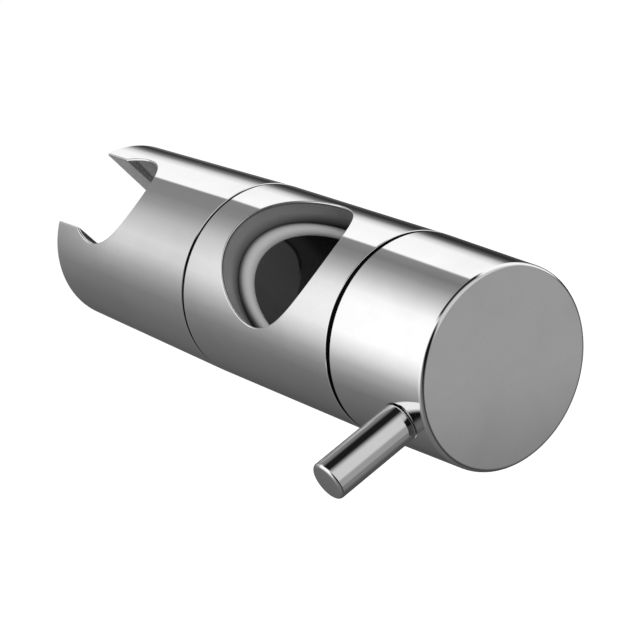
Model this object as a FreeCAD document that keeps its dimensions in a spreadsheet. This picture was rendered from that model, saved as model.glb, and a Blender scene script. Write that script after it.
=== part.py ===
# Shower rail slider: a chromed tube-shaped bracket that grips a round riser rail and holds a handset.
#
# Frame, in millimetres: the origin is where the rail's axis crosses the bracket's own axis.
# +Z runs up the rail, +X runs along the bracket to the clamp knob, and the handset holder is at -X.
# Everything turned lies along X. The knob, its lever and its spindle share one frame turned about X, so
# that the lever stands at its photographed angle, and the handset holder is tilted about X in the same way.

import FreeCAD, Part
import math
import os
import re

import Sketcher

from FreeCAD import Vector

# Driving dimensions: lengths in millimetres, angles in degrees
SIZES = {
    # Rail and the play round it
    "rail_diameter": 25.0,
    "rail_clearance": 0.2,
    "bush_clearance": 0.45,
    # Clearances shared by the whole bracket
    "seat_clearance": 0.05,
    "running_clearance": 0.1,
    # Walls from the rail outwards: bush, then chromed body
    "bush_margin": 1.3,
    "bush_wall": 2.35,
    "lip_round": 2.2,
    "body_wall": 5.6,
    "opening_inset": 0.3,
    "opening_edge": 0.25,
    "joint_edge": 0.12,
    "end_wall": 4.8,
    # Cradle that the rail is pressed into
    "cradle_setback": 3.0,
    "cradle_web": 2.9,
    "recess_clearance": 0.7,
    # Brake shoe, its pad and its nut
    "shoe_retraction": 0.5,
    "shoe_web": 0.75,
    "shoe_depth": 11.4,
    "shoe_play": 0.75,
    "pad_thickness": 1.2,
    "pad_height": 18.0,
    "pad_angle": 76.0,
    "nut_width": 13.0,
    "nut_thickness": 3.1,
    # Bearing plug that closes the body under the knob
    "plug_thickness": 4.5,
    "plug_setback": 0.2,
    "o_ring_section": 1.4,
    "spanner_hole_radius": 1.3,
    "spanner_hole_depth": 2.2,
    "spanner_hole_inset": 4.4,
    # Clamp spindle
    "thread_radius": 4.0,
    "thread_gap": 0.6,
    "journal_radius": 5.0,
    "collar_step": 2.2,
    "collar_thickness": 1.6,
    "thrust_washer_thickness": 0.55,
    "thrust_washer_width": 3.0,
    "spindle_beyond_lever": 5.0,
    "circlip_thickness": 0.9,
    "circlip_width": 2.1,
    "circlip_groove_depth": 0.7,
    "circlip_gap": 3.2,
    # Clamp knob
    "knob_gap": 1.0,
    "knob_length": 28.95,
    "knob_taper": 0.55,
    "knob_rim_round": 0.7,
    "knob_wall": 3.6,
    "knob_end_wall": 5.0,
    "hub_wall": 4.0,
    "hub_setback": 1.6,
    # Lever
    "lever_angle": 18.1,
    "lever_from_face": 8.6,
    "lever_radius": 4.22,
    "lever_reach": 19.9,
    "lever_chamfer": 0.35,
    "lever_seat_web": 1.8,
    "stud_radius": 2.5,
    "stud_bite": 0.5,
    # Joint to the handset holder
    "tilt_gap": 0.55,
    "pivot_radius": 4.0,
    "pivot_depth": 14.5,
    "pivot_chamfer": 0.5,
    "pivot_collar_step": 2.0,
    "pivot_collar_depth": 2.0,
    "stud_washer_radius": 8.5,
    "stud_washer_thickness": 1.0,
    "spring_radius": 7.9,
    "spring_thickness": 0.7,
    "spring_cone": 0.45,
    "lock_nut_thickness": 2.6,
    # Washers that show as dark rings at the two joints
    "ring_setback": 1.2,
    "ring_width": 3.5,
    # Handset holder, tilted a little as in the photograph
    "holder_angle": 2.1,
    "holder_taper": 0.95,
    "holder_wall": 3.6,
    "holder_hub_wall": 4.5,
    "seat_from_joint": 39.45,
    "seat_to_end": 15.2,
    "seat_web": 7.05,
    "seat_top_diameter": 23.7,
    "seat_bottom_diameter": 20.2,
    "slot_width": 19.4,
    "holder_edge": 0.3,
}

# Radii, from the rail outwards
BORE = "(rail_diameter / 2 + rail_clearance)"
BUSH_HOLE = "(rail_diameter / 2 + bush_clearance)"
BUSH_INNER = f"({BORE} + bush_margin)"
BUSH_OUTER = f"({BUSH_INNER} + bush_wall)"
CAVITY = f"({BUSH_OUTER} + seat_clearance)"
RAIL_OPENING = f"({CAVITY} - opening_inset)"
MAIN_RADIUS = f"({CAVITY} + body_wall)"
RING_RADIUS = f"({MAIN_RADIUS} - ring_setback)"

# Places along -X, from the rail to the holder's free end
RECESS_FLOOR = f"(-{BORE} - cradle_web)"
STUD_TIP = f"({RECESS_FLOOR} - seat_clearance)"
LOCK_NUT_END = f"({STUD_TIP} - pivot_chamfer)"
LOCK_NUT_START = f"({LOCK_NUT_END} - lock_nut_thickness)"
SPRING_START = f"({LOCK_NUT_START} - seat_clearance - spring_thickness - spring_cone)"
WASHER_START = f"({SPRING_START} - seat_clearance - stud_washer_thickness)"
CAVITY_FLOOR = f"({WASHER_START} - seat_clearance)"
CRADLE_START = f"({CAVITY_FLOOR} + seat_clearance)"
BODY_START = f"({CAVITY_FLOOR} - end_wall)"
HOLDER_START = f"({BODY_START} - tilt_gap)"
HOLDER_CONE_START = f"({HOLDER_START} - joint_edge)"
SEAT_X = f"({HOLDER_START} - seat_from_joint)"
HOLDER_END = f"({SEAT_X} - seat_to_end)"
HOLDER_END_RADIUS = f"({MAIN_RADIUS} - holder_taper)"

# Places along +X, from the rail to the knob's face
SHOE_HOLLOW = f"({BORE} + pad_thickness + seat_clearance)"
NUT_POCKET_FLOOR = f"(shoe_retraction + {SHOE_HOLLOW} + shoe_web)"
NUT_START = f"({NUT_POCKET_FLOOR} + seat_clearance)"
SHOE_BACK = f"({NUT_START} + nut_thickness + seat_clearance)"
SHOE_FRONT = f"({SHOE_BACK} - shoe_depth)"
THREAD_TIP = f"({NUT_POCKET_FLOOR} + thread_gap)"
COLLAR_START = f"({SHOE_BACK} + shoe_play)"
COLLAR_END = f"({COLLAR_START} + collar_thickness)"
PLUG_INNER = f"({COLLAR_END} + thrust_washer_thickness + 2 * seat_clearance)"
PLUG_OUTER = f"({PLUG_INNER} + plug_thickness)"
BODY_END = f"({PLUG_OUTER} + plug_setback)"
CIRCLIP_START = f"({PLUG_OUTER} + thrust_washer_thickness + 2 * seat_clearance)"
KNOB_START = f"({BODY_END} + knob_gap)"
KNOB_END = f"({KNOB_START} + knob_length)"
KNOB_END_RADIUS = f"({MAIN_RADIUS} - knob_taper)"
KNOB_INSIDE = f"({MAIN_RADIUS} - knob_wall)"
HUB_START = f"({KNOB_START} + hub_setback)"
HUB_BORE = "(journal_radius + seat_clearance)"
HUB_RADIUS = "(journal_radius + hub_wall)"

# Lever, out from the bracket's axis
LEVER_X = f"({KNOB_END} - lever_from_face)"
SPINDLE_END = f"({LEVER_X} + spindle_beyond_lever)"
STUD_END = "(journal_radius - stud_bite)"
LEVER_SEAT = f"({KNOB_INSIDE} + lever_seat_web)"
LEVER_TIP = f"({MAIN_RADIUS} + lever_reach)"

OCTAGON_SIDES = 8
SAMPLES_PER_EDGE = 5
TOLERANCE = 1e-3

doc = FreeCAD.newDocument("ShowerRailSlider")
sheet = doc.addObject("Spreadsheet::Sheet", "Sizes")
for row, (alias, number) in enumerate(SIZES.items(), start=1):
    sheet.set(f"A{row}", alias.replace("_", " "))
    sheet.set(f"B{row}", str(number))
    sheet.setAlias(f"B{row}", alias)
doc.recompute()

pieces = []


def bind(expression):
    """Returns the expression with each size looked up in the sheet."""
    def looked_up(word):
        return f"Sizes.{word[0]}" if word[0] in SIZES else word[0]

    return re.sub(r"[a-z_]{3,}", looked_up, expression)


def value(expression):
    """Returns what an expression comes to in this build."""
    return float(sheet.evalExpression(bind(expression)))


# Bodies and sketches


def new_body(label):
    """Starts one piece, which is written under its label."""
    body = doc.addObject("PartDesign::Body", label)
    body.Label = label
    pieces.append(body)
    return body


def turn_about(body, axis, angle):
    """Turns a piece about an axis through the origin by an angle from the sheet."""
    body.Placement = FreeCAD.Placement(Vector(), FreeCAD.Rotation(axis, value(angle)))
    body.setExpression("Placement.Rotation.Angle", bind(f"{angle} * 1 deg"))


def turn_with_lever(body):
    """Turns a piece so that what points along -Y in its own frame points along the lever."""
    turn_about(body, Vector(-1, 0, 0), "lever_angle")


def new_sketch(body, name, plane, height="0"):
    """Starts a sketch on one of the body's own origin planes, lifted along its normal."""
    sketch = body.newObject("Sketcher::SketchObject", name)
    support = next(part for part in body.Origin.OriginFeatures if part.Role == plane)
    sketch.AttachmentSupport = (support, [""])
    sketch.MapMode = "FlatFace"
    if height != "0":
        sketch.setExpression("AttachmentOffset.Base.z", bind(height))
    return sketch


def place_point(sketch, geometry, point, corner):
    """Ties one point of a sketch to its two coordinates."""
    across, up = corner
    for kind, expression, axis in (("DistanceX", across, -2), ("DistanceY", up, -1)):
        if expression == "0":
            sketch.addConstraint(Sketcher.Constraint("PointOnObject", geometry, point, axis))
        else:
            rule = Sketcher.Constraint(kind, -1, 1, geometry, point, value(expression))
            sketch.setExpression(f"Constraints[{sketch.addConstraint(rule)}]", bind(expression))


def outline(sketch, corners):
    """Draws a closed outline of straight sides through corners given as pairs of expressions."""
    points = [Vector(value(across), value(up), 0) for across, up in corners]
    count = len(points)
    for index in range(count):
        sketch.addGeometry(Part.LineSegment(points[index], points[(index + 1) % count]), False)
    for index in range(count):
        sketch.addConstraint(Sketcher.Constraint("Coincident", index, 2, (index + 1) % count, 1))
    for index, corner in enumerate(corners):
        place_point(sketch, index, 1, corner)


def circle(sketch, centre, radius):
    """Draws one circle with its centre and radius tied to the sheet."""
    middle = Vector(value(centre[0]), value(centre[1]), 0)
    index = sketch.addGeometry(Part.Circle(middle, Vector(0, 0, 1), value(radius)), False)
    if centre == ("0", "0"):
        sketch.addConstraint(Sketcher.Constraint("Coincident", index, 3, -1, 1))
    else:
        place_point(sketch, index, 3, centre)
    rule = sketch.addConstraint(Sketcher.Constraint("Radius", index, value(radius)))
    sketch.setExpression(f"Constraints[{rule}]", bind(radius))


def hexagon_corners(width):
    """Corners of a hexagon of that width across flats, with two flats square to the first axis."""
    half = f"({width} / 2)"
    side = f"({width} / 2 / sqrt(3))"
    tip = f"({width} / sqrt(3))"
    upper = [(half, side), ("0", tip), (f"-{half}", side)]
    lower = [(f"-{half}", f"-{side}"), ("0", f"-{tip}"), (half, f"-{side}")]
    return upper + lower


# Features


def turned(body, name, corners, plane="XY_Plane", about_first_side=False, kind="PartDesign::Revolution"):
    """Turns an outline about X, or about its own first side."""
    sketch = new_sketch(body, f"{name}Outline", plane)
    outline(sketch, corners)
    feature = body.newObject(kind, name)
    feature.Profile = (sketch, [""])
    feature.ReferenceAxis = (sketch, ["Edge1" if about_first_side else "H_Axis"])
    feature.Angle = 360
    doc.recompute()
    return feature


def turned_away(body, name, corners, plane="XY_Plane"):
    """Cuts a turned hollow about the first side of its outline, and makes sure that it cuts."""
    before = body.Shape.Volume
    turned(body, name, corners, plane, about_first_side=True, kind="PartDesign::Groove")
    require_cut(name, before, body.Shape.Volume)


def pocket_across(body, name, sketch):
    """Cuts a sketch right through the body, both ways from its plane."""
    before = body.Shape.Volume
    feature = body.newObject("PartDesign::Pocket", name)
    feature.Profile = (sketch, [""])
    feature.SideType = "Symmetric"
    feature.Type = "ThroughAll"
    doc.recompute()
    require_cut(name, before, body.Shape.Volume)
    return feature


def pocket_deep(body, name, sketch, depth):
    """Cuts a sketch down to a depth, against its plane's normal."""
    before = body.Shape.Volume
    feature = body.newObject("PartDesign::Pocket", name)
    feature.Profile = (sketch, [""])
    feature.Type = "Length"
    feature.setExpression("Length", bind(depth))
    doc.recompute()
    require_cut(name, before, body.Shape.Volume)
    return feature


def pad(body, name, sketch, thickness):
    """Raises a sketch to a thickness along its plane's normal."""
    feature = body.newObject("PartDesign::Pad", name)
    feature.Profile = (sketch, [""])
    feature.setExpression("Length", bind(thickness))
    doc.recompute()
    return feature


def round_edges(body, name, size, *tests, kind="PartDesign::Fillet", measure="Radius"):
    """Rounds, or with another kind chamfers, the edges of which every sampled point passes every test."""
    base = body.Tip
    names = []
    for number, edge in enumerate(base.Shape.Edges, start=1):
        if edge.Degenerated:
            continue
        points = edge.discretize(SAMPLES_PER_EDGE)
        if all(test(point) for test in tests for point in points):
            names.append(f"Edge{number}")
    if not names:
        raise RuntimeError(f"{body.Label}: no edge found for {name}")
    feature = body.newObject(kind, name)
    feature.Base = (base, names)
    feature.setExpression(measure, bind(size))
    doc.recompute()
    return feature


def require_cut(name, before, after):
    """Stops the build where a cut took nothing away."""
    if after >= before - TOLERANCE:
        raise RuntimeError(f"{name} cuts nothing")


# Tests that say where an edge lies


def at_x(expression):
    """Points of a plane square to the bracket's axis."""
    place = value(expression)
    return lambda point: abs(point.x - place) < TOLERANCE


def off_main_axis(expression):
    """Points at a radius from the bracket's own axis."""
    radius = value(expression)
    return lambda point: abs(math.hypot(point.y, point.z) - radius) < TOLERANCE


def off_rail_axis(expression):
    """Points at a radius from the rail's axis."""
    radius = value(expression)
    return lambda point: abs(math.hypot(point.x, point.y) - radius) < TOLERANCE


def on_holder_outside(point):
    """Points of the holder's outer cone, its joint end left out."""
    start = value(HOLDER_CONE_START)
    share = (start - point.x) / (start - value(HOLDER_END))
    radius = value(MAIN_RADIUS) - share * value("holder_taper")
    beside_seat = point.x < start - value("seat_from_joint") / 2
    return beside_seat and abs(math.hypot(point.y, point.z) - radius) < TOLERANCE


def on_holder_skin(point):
    """Points of the holder's outer cone or of its free end face."""
    return abs(point.x - value(HOLDER_END)) < TOLERANCE or on_holder_outside(point)


# Simple turned and hexagonal pieces


def ring(label, start, thickness, inner, outer):
    """A flat washer on the bracket's axis."""
    body = new_body(label)
    end = f"{start} + {thickness}"
    turned(body, "Ring", [(start, inner), (start, outer), (end, outer), (end, inner)])
    return body


def hexagon_nut(label, start, thickness, width, bore):
    """A hexagon nut on the bracket's axis."""
    body = new_body(label)
    flats = new_sketch(body, "Flats", "YZ_Plane", start)
    outline(flats, hexagon_corners(width))
    pad(body, "Hexagon", flats, thickness)
    hole = new_sketch(body, "BoreCircle", "YZ_Plane", start)
    circle(hole, ("0", "0"), bore)
    pocket_across(body, "Bore", hole)
    return body


# Fixed pieces on the rail


def make_rail_body():
    """The chromed body: a cup turned from bar, with the rail's opening bored across it."""
    body = new_body("rail_body")
    hole = "(pivot_radius + seat_clearance)"
    rim = f"({MAIN_RADIUS} - joint_edge)"
    turned(body, "Cup", [
        (BODY_START, hole),
        (BODY_START, rim),
        (f"({BODY_START} + joint_edge)", MAIN_RADIUS),
        (f"({BODY_END} - joint_edge)", MAIN_RADIUS),
        (BODY_END, rim),
        (BODY_END, CAVITY),
        (CAVITY_FLOOR, CAVITY),
        (CAVITY_FLOOR, hole),
    ])
    opening = new_sketch(body, "RailOpeningCircle", "XY_Plane")
    circle(opening, ("0", "0"), RAIL_OPENING)
    pocket_across(body, "RailOpening", opening)
    on_mouth = off_main_axis(MAIN_RADIUS), off_rail_axis(RAIL_OPENING)
    round_edges(body, "OpeningEdge", "opening_edge", *on_mouth, kind="PartDesign::Chamfer", measure="Size")


def make_rail_bush():
    """The light bush that lines the body, with a rounded lip round each mouth of the rail's hole."""
    body = new_body("rail_bush")
    start = CRADLE_START
    end = f"({PLUG_INNER} - seat_clearance)"
    turned(body, "Lining", [(start, BUSH_INNER), (start, BUSH_OUTER), (end, BUSH_OUTER), (end, BUSH_INNER)])
    hole = new_sketch(body, "RailHoleCircle", "XY_Plane")
    circle(hole, ("0", "0"), BUSH_HOLE)
    pocket_across(body, "RailHole", hole)
    round_edges(body, "Lips", "lip_round", off_main_axis(BUSH_OUTER), off_rail_axis(BUSH_HOLE))


def make_rail_cradle():
    """The dark cradle that the shoe presses the rail into, hollowed behind for the lock nut."""
    body = new_body("rail_cradle")
    outer = f"({BUSH_INNER} - seat_clearance)"
    recess = "(stud_washer_radius + recess_clearance)"
    end = "(-cradle_setback)"
    turned(body, "Block", [
        (RECESS_FLOOR, "0"),
        (RECESS_FLOOR, recess),
        (CRADLE_START, recess),
        (CRADLE_START, outer),
        (end, outer),
        (end, "0"),
    ])
    seat = new_sketch(body, "RailSeatCircle", "XY_Plane")
    circle(seat, ("0", "0"), BORE)
    pocket_across(body, "RailSeat", seat)


def make_bearing_plug():
    """The screwed plug that carries the spindle, with an O-ring groove and two spanner holes."""
    body = new_body("bearing_plug")
    outer = f"({CAVITY} - seat_clearance)"
    hole = "(journal_radius + running_clearance)"
    groove_start = f"({PLUG_INNER} + (plug_thickness - o_ring_section) / 2 - seat_clearance)"
    groove_end = f"({groove_start} + o_ring_section + 2 * seat_clearance)"
    groove = f"({hole} + o_ring_section + seat_clearance)"
    turned(body, "Disc", [
        (PLUG_INNER, hole),
        (PLUG_INNER, outer),
        (PLUG_OUTER, outer),
        (PLUG_OUTER, hole),
        (groove_end, hole),
        (groove_end, groove),
        (groove_start, groove),
        (groove_start, hole),
    ])
    spot = new_sketch(body, "SpannerHoleCircle", "YZ_Plane", PLUG_OUTER)
    circle(spot, ("0", f"({CAVITY} - spanner_hole_inset)"), "spanner_hole_radius")
    hole_feature = pocket_deep(body, "SpannerHole", spot, "spanner_hole_depth")
    pattern = body.newObject("PartDesign::PolarPattern", "SpannerHoles")
    pattern.Originals = [hole_feature]
    pattern.Axis = (next(part for part in body.Origin.OriginFeatures if part.Role == "X_Axis"), [""])
    pattern.Angle = 360
    pattern.Occurrences = 2
    body.Tip = pattern
    doc.recompute()


def make_spindle_o_ring():
    """The O-ring in the plug's groove, which gives the knob its drag; its section is an octagon."""
    body = new_body("spindle_o_ring")
    centre_x = f"({PLUG_INNER} + plug_thickness / 2)"
    centre_radius = "(journal_radius + running_clearance + o_ring_section / 2)"
    corners = []
    for number in range(OCTAGON_SIDES):
        turn = (number + 0.5) * 2 * math.pi / OCTAGON_SIDES
        reach = 1 / math.cos(math.pi / OCTAGON_SIDES)
        along, out = (f"{reach * side(turn):.6f} * o_ring_section / 2" for side in (math.cos, math.sin))
        corners.append((f"({centre_x} + {along})", f"({centre_radius} + {out})"))
    turned(body, "Octagon", corners)


def make_fixed_washers():
    """The thrust washers each side of the plug, and the dark rings at the two outer joints."""
    bore = "(journal_radius + running_clearance)"
    inner_start = f"({COLLAR_END} + seat_clearance)"
    outer_start = f"({PLUG_OUTER} + seat_clearance)"
    edge = "(journal_radius + thrust_washer_width)"
    ring("inner_thrust_washer", inner_start, "thrust_washer_thickness", bore, edge)
    ring("outer_thrust_washer", outer_start, "thrust_washer_thickness", bore, edge)
    ring("knob_washer", BODY_END, "(knob_gap - seat_clearance)", f"({RING_RADIUS} - ring_width)", RING_RADIUS)
    tilt_start = f"({HOLDER_START} + seat_clearance)"
    pivot_hole = "(pivot_radius + seat_clearance)"
    ring("tilt_washer", tilt_start, "(tilt_gap - seat_clearance)", pivot_hole, RING_RADIUS)


# Pieces that turn with the knob


def make_clamp_knob():
    """The hollow knob: a tapered wall, a hub for the spindle and a stepped hole for the lever."""
    body = new_body("clamp_knob")
    turn_with_lever(body)
    hollow_end = f"({KNOB_END} - knob_end_wall)"
    bore_end = f"({SPINDLE_END} + seat_clearance)"
    turned(body, "Shell", [
        (KNOB_START, KNOB_INSIDE),
        (KNOB_START, f"({MAIN_RADIUS} - joint_edge)"),
        (f"({KNOB_START} + joint_edge)", MAIN_RADIUS),
        (KNOB_END, KNOB_END_RADIUS),
        (KNOB_END, "0"),
        (bore_end, "0"),
        (bore_end, HUB_BORE),
        (HUB_START, HUB_BORE),
        (HUB_START, HUB_RADIUS),
        (hollow_end, HUB_RADIUS),
        (hollow_end, KNOB_INSIDE),
    ])
    round_edges(body, "RimRound", "knob_rim_round", at_x(KNOB_END), off_main_axis(KNOB_END_RADIUS))
    stud_side = f"({LEVER_X} + stud_radius + seat_clearance)"
    rod_side = f"({LEVER_X} + lever_radius + seat_clearance)"
    step = f"(-{LEVER_SEAT} + seat_clearance)"
    outside = f"(-{MAIN_RADIUS})"
    turned_away(body, "LeverHole", [
        (LEVER_X, "0"),
        (LEVER_X, outside),
        (rod_side, outside),
        (rod_side, step),
        (stud_side, step),
        (stud_side, "0"),
    ])


def make_clamp_lever():
    """The polished lever: a plain rod let into the knob, with a stud that screws in to the spindle."""
    body = new_body("clamp_lever")
    turn_with_lever(body)
    side = f"({LEVER_X} + lever_radius)"
    stud = f"({LEVER_X} + stud_radius)"
    turned(body, "Rod", [
        (LEVER_X, f"(-{STUD_END})"),
        (LEVER_X, f"(-{LEVER_TIP})"),
        (f"({side} - lever_chamfer)", f"(-{LEVER_TIP})"),
        (side, f"(-{LEVER_TIP} + lever_chamfer)"),
        (side, f"(-{LEVER_SEAT})"),
        (stud, f"(-{LEVER_SEAT})"),
        (stud, f"(-{STUD_END})"),
    ], about_first_side=True)


def make_clamp_spindle():
    """The spindle: thread for the shoe's nut, thrust collar, journal, circlip groove and hub end."""
    body = new_body("clamp_spindle")
    turn_with_lever(body)
    thread = "(thread_radius - seat_clearance)"
    collar = "(journal_radius + collar_step)"
    groove = "(journal_radius - circlip_groove_depth)"
    groove_end = f"({CIRCLIP_START} + circlip_thickness + 2 * seat_clearance)"
    turned(body, "Spindle", [
        (THREAD_TIP, "0"),
        (THREAD_TIP, thread),
        (COLLAR_START, thread),
        (COLLAR_START, collar),
        (COLLAR_END, collar),
        (COLLAR_END, "journal_radius"),
        (CIRCLIP_START, "journal_radius"),
        (CIRCLIP_START, groove),
        (groove_end, groove),
        (groove_end, "journal_radius"),
        (SPINDLE_END, "journal_radius"),
        (SPINDLE_END, "0"),
    ])
    side = f"({LEVER_X} + stud_radius + seat_clearance)"
    floor = f"(-{STUD_END} + seat_clearance)"
    outside = "(-journal_radius - seat_clearance)"
    turned_away(body, "StudDimple", [
        (LEVER_X, floor),
        (LEVER_X, outside),
        (side, outside),
        (side, floor),
    ])


def make_spindle_circlip():
    """The open circlip that keeps the spindle in the plug."""
    body = new_body("spindle_circlip")
    turn_with_lever(body)
    start = f"({CIRCLIP_START} + seat_clearance)"
    end = f"({start} + circlip_thickness)"
    inner = "(journal_radius - circlip_groove_depth + seat_clearance)"
    outer = f"({inner} + circlip_width)"
    turned(body, "Ring", [(start, inner), (start, outer), (end, outer), (end, inner)])
    gap = new_sketch(body, "GapOutline", "YZ_Plane")
    half, far = "(circlip_gap / 2)", f"(-{outer} - seat_clearance)"
    outline(gap, [("0", half), (far, half), (far, f"(-{half})"), ("0", f"(-{half})")])
    pocket_across(body, "Gap", gap)


# Brake shoe, which slides along X


def make_brake_shoe():
    """The round shoe behind the pad, with a hexagon pocket that holds its nut."""
    body = new_body("brake_shoe")
    outer = f"({BUSH_INNER} - running_clearance)"
    turned(body, "Disc", [
        (SHOE_FRONT, "0"),
        (SHOE_FRONT, outer),
        (SHOE_BACK, outer),
        (SHOE_BACK, "0"),
    ])
    hollow = new_sketch(body, "RailHollowCircle", "XY_Plane")
    circle(hollow, ("shoe_retraction", "0"), SHOE_HOLLOW)
    pocket_across(body, "RailHollow", hollow)
    flats = new_sketch(body, "NutPocketFlats", "YZ_Plane", SHOE_BACK)
    outline(flats, hexagon_corners("(nut_width + 2 * seat_clearance)"))
    pocket_deep(body, "NutPocket", flats, "(nut_thickness + 2 * seat_clearance)")


def make_shoe_pad():
    """The curved rubber pad on the shoe, which is what touches the rail."""
    body = new_body("shoe_pad")
    sketch = new_sketch(body, "Section", "XZ_Plane")
    near = f"(shoe_retraction + {BORE})"
    far = f"({near} + pad_thickness)"
    half = "(pad_height / 2)"
    outline(sketch, [(near, f"(-{half})"), (near, half), (far, half), (far, f"(-{half})")])
    axis = sketch.addGeometry(Part.LineSegment(Vector(0, -1, 0), Vector(0, 1, 0)), True)
    place_point(sketch, axis, 1, ("shoe_retraction", f"(-{half})"))
    place_point(sketch, axis, 2, ("shoe_retraction", half))
    feature = body.newObject("PartDesign::Revolution", "Pad")
    feature.Profile = (sketch, [""])
    feature.ReferenceAxis = (sketch, ["Axis0"])
    feature.Midplane = True
    feature.setExpression("Angle", bind("pad_angle * 1 deg"))
    doc.recompute()


def make_shoe_nut():
    """The nut in the shoe, which the spindle draws along."""
    hexagon_nut("shoe_nut", NUT_START, "nut_thickness", "nut_width", "thread_radius")


# Handset holder, which tilts about X


def make_handset_holder():
    """The handset holder: a tapered cup with a conical seat bored up through it and open at the end."""
    body = new_body("handset_holder")
    turn_about(body, Vector(1, 0, 0), "holder_angle")
    inside = f"({MAIN_RADIUS} - holder_wall)"
    rim = f"({MAIN_RADIUS} - joint_edge)"
    hub = "(pivot_radius + holder_hub_wall)"
    hollow_end = f"({SEAT_X} + seat_top_diameter / 2 + seat_web)"
    bore = "(pivot_radius + seat_clearance)"
    bore_end = f"({HOLDER_START} - pivot_depth - seat_clearance)"
    collar_end = f"({HOLDER_START} - pivot_collar_depth - seat_clearance)"
    collar = "(pivot_radius + pivot_collar_step + seat_clearance)"
    turned(body, "Cup", [
        (HOLDER_START, rim),
        (HOLDER_CONE_START, MAIN_RADIUS),
        (HOLDER_END, HOLDER_END_RADIUS),
        (HOLDER_END, "0"),
        (bore_end, "0"),
        (bore_end, bore),
        (collar_end, bore),
        (collar_end, collar),
        (HOLDER_START, collar),
        (HOLDER_START, hub),
        (hollow_end, hub),
        (hollow_end, inside),
        (HOLDER_START, inside),
    ])
    top, bottom = MAIN_RADIUS, f"(-{MAIN_RADIUS})"
    turned_away(body, "HandsetSeat", [
        (SEAT_X, bottom),
        (SEAT_X, top),
        (f"({SEAT_X} + seat_top_diameter / 2)", top),
        (f"({SEAT_X} + seat_bottom_diameter / 2)", bottom),
    ], plane="XZ_Plane")
    slot = new_sketch(body, "SlotOutline", "XY_Plane")
    beyond = f"({HOLDER_END} - slot_width)"
    half = "(slot_width / 2)"
    outline(slot, [(SEAT_X, half), (beyond, half), (beyond, f"(-{half})"), (SEAT_X, f"(-{half})")])
    pocket_across(body, "HoseSlot", slot)
    round_edges(body, "OuterEdge", "holder_edge", on_holder_skin, kind="PartDesign::Chamfer", measure="Size")


def make_pivot_stud():
    """The stud that is screwed into the holder and turns in the body's end wall."""
    body = new_body("pivot_stud")
    start = f"({HOLDER_START} - pivot_depth)"
    collar_start = f"({HOLDER_START} - pivot_collar_depth)"
    side, tip = "(pivot_radius - seat_clearance)", "(pivot_radius - seat_clearance - pivot_chamfer)"
    collar = "(pivot_radius + pivot_collar_step)"
    turned(body, "Stud", [
        (start, "0"),
        (start, tip),
        (f"({start} + pivot_chamfer)", side),
        (collar_start, side),
        (collar_start, collar),
        (HOLDER_START, collar),
        (HOLDER_START, side),
        (LOCK_NUT_END, side),
        (STUD_TIP, tip),
        (STUD_TIP, "0"),
    ])


def make_tilt_stack():
    """The washer, disc spring and lock nut that give the holder its friction."""
    bore = "(pivot_radius + seat_clearance)"
    ring("stud_washer", WASHER_START, "stud_washer_thickness", bore, "stud_washer_radius")
    spring = new_body("disc_spring")
    turned(spring, "Cone", [
        (f"({SPRING_START} + spring_cone)", bore),
        (SPRING_START, "spring_radius"),
        (f"({SPRING_START} + spring_thickness)", "spring_radius"),
        (f"({SPRING_START} + spring_thickness + spring_cone)", bore),
    ])
    hexagon_nut("lock_nut", LOCK_NUT_START, "lock_nut_thickness", "nut_width", "pivot_radius")


def check_and_write():
    """Makes sure that every object and shape is sound, and writes one file for each piece."""
    doc.recompute()
    for item in doc.Objects:
        if {"Invalid", "Error"} & set(item.State):
            raise RuntimeError(f"{item.Label} failed: {item.State}")
    os.makedirs("parts", exist_ok=True)
    for piece in pieces:
        shape = piece.Shape
        if shape.isNull() or not shape.isValid() or not shape.Solids:
            raise RuntimeError(f"{piece.Label} has no sound shape")
        shape.exportStep(f"parts/{piece.Label}.step")
        box = shape.BoundBox
        print(f"{piece.Label}: {len(shape.Solids)} solid, {shape.Volume:.1f} mm3,"
              f" x {box.XMin:.2f} to {box.XMax:.2f}, y {box.YMin:.2f} to {box.YMax:.2f},"
              f" z {box.ZMin:.2f} to {box.ZMax:.2f}")


make_rail_body()
make_rail_bush()
make_rail_cradle()
make_bearing_plug()
make_spindle_o_ring()
make_fixed_washers()
make_clamp_knob()
make_clamp_lever()
make_clamp_spindle()
make_spindle_circlip()
make_brake_shoe()
make_shoe_pad()
make_shoe_nut()
make_handset_holder()
make_pivot_stud()
make_tilt_stack()
check_and_write()
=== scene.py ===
"""The looks of a chromed shower rail slider: its studio, its finishes and its visible pieces.

Sizes are in millimetres and angles in degrees until a mesh is made. The origin is where the rail's axis
crosses the bracket's own axis, Z runs up the rail, and X runs along the bracket to the clamp knob.
"""
import logging
import math
from dataclasses import dataclass, field
from enum import Enum

import bpy
import numpy as np
from mathutils import Matrix, Vector


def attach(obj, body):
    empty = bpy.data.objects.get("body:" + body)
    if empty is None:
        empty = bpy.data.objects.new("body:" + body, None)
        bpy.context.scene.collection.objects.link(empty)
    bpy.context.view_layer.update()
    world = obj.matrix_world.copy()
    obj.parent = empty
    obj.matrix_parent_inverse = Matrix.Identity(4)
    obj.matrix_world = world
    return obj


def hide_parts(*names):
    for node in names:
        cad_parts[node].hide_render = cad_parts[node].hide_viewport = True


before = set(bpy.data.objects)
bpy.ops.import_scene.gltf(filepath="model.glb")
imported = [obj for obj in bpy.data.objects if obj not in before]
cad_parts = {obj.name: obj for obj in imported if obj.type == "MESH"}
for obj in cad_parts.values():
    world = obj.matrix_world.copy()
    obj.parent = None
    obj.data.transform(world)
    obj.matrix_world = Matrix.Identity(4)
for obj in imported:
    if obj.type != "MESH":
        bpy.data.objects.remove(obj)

log = logging.getLogger("rail slider")

MM = 0.001

Array = np.ndarray
Level = tuple[float, float]
Colour = tuple[float, float, float]


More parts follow.
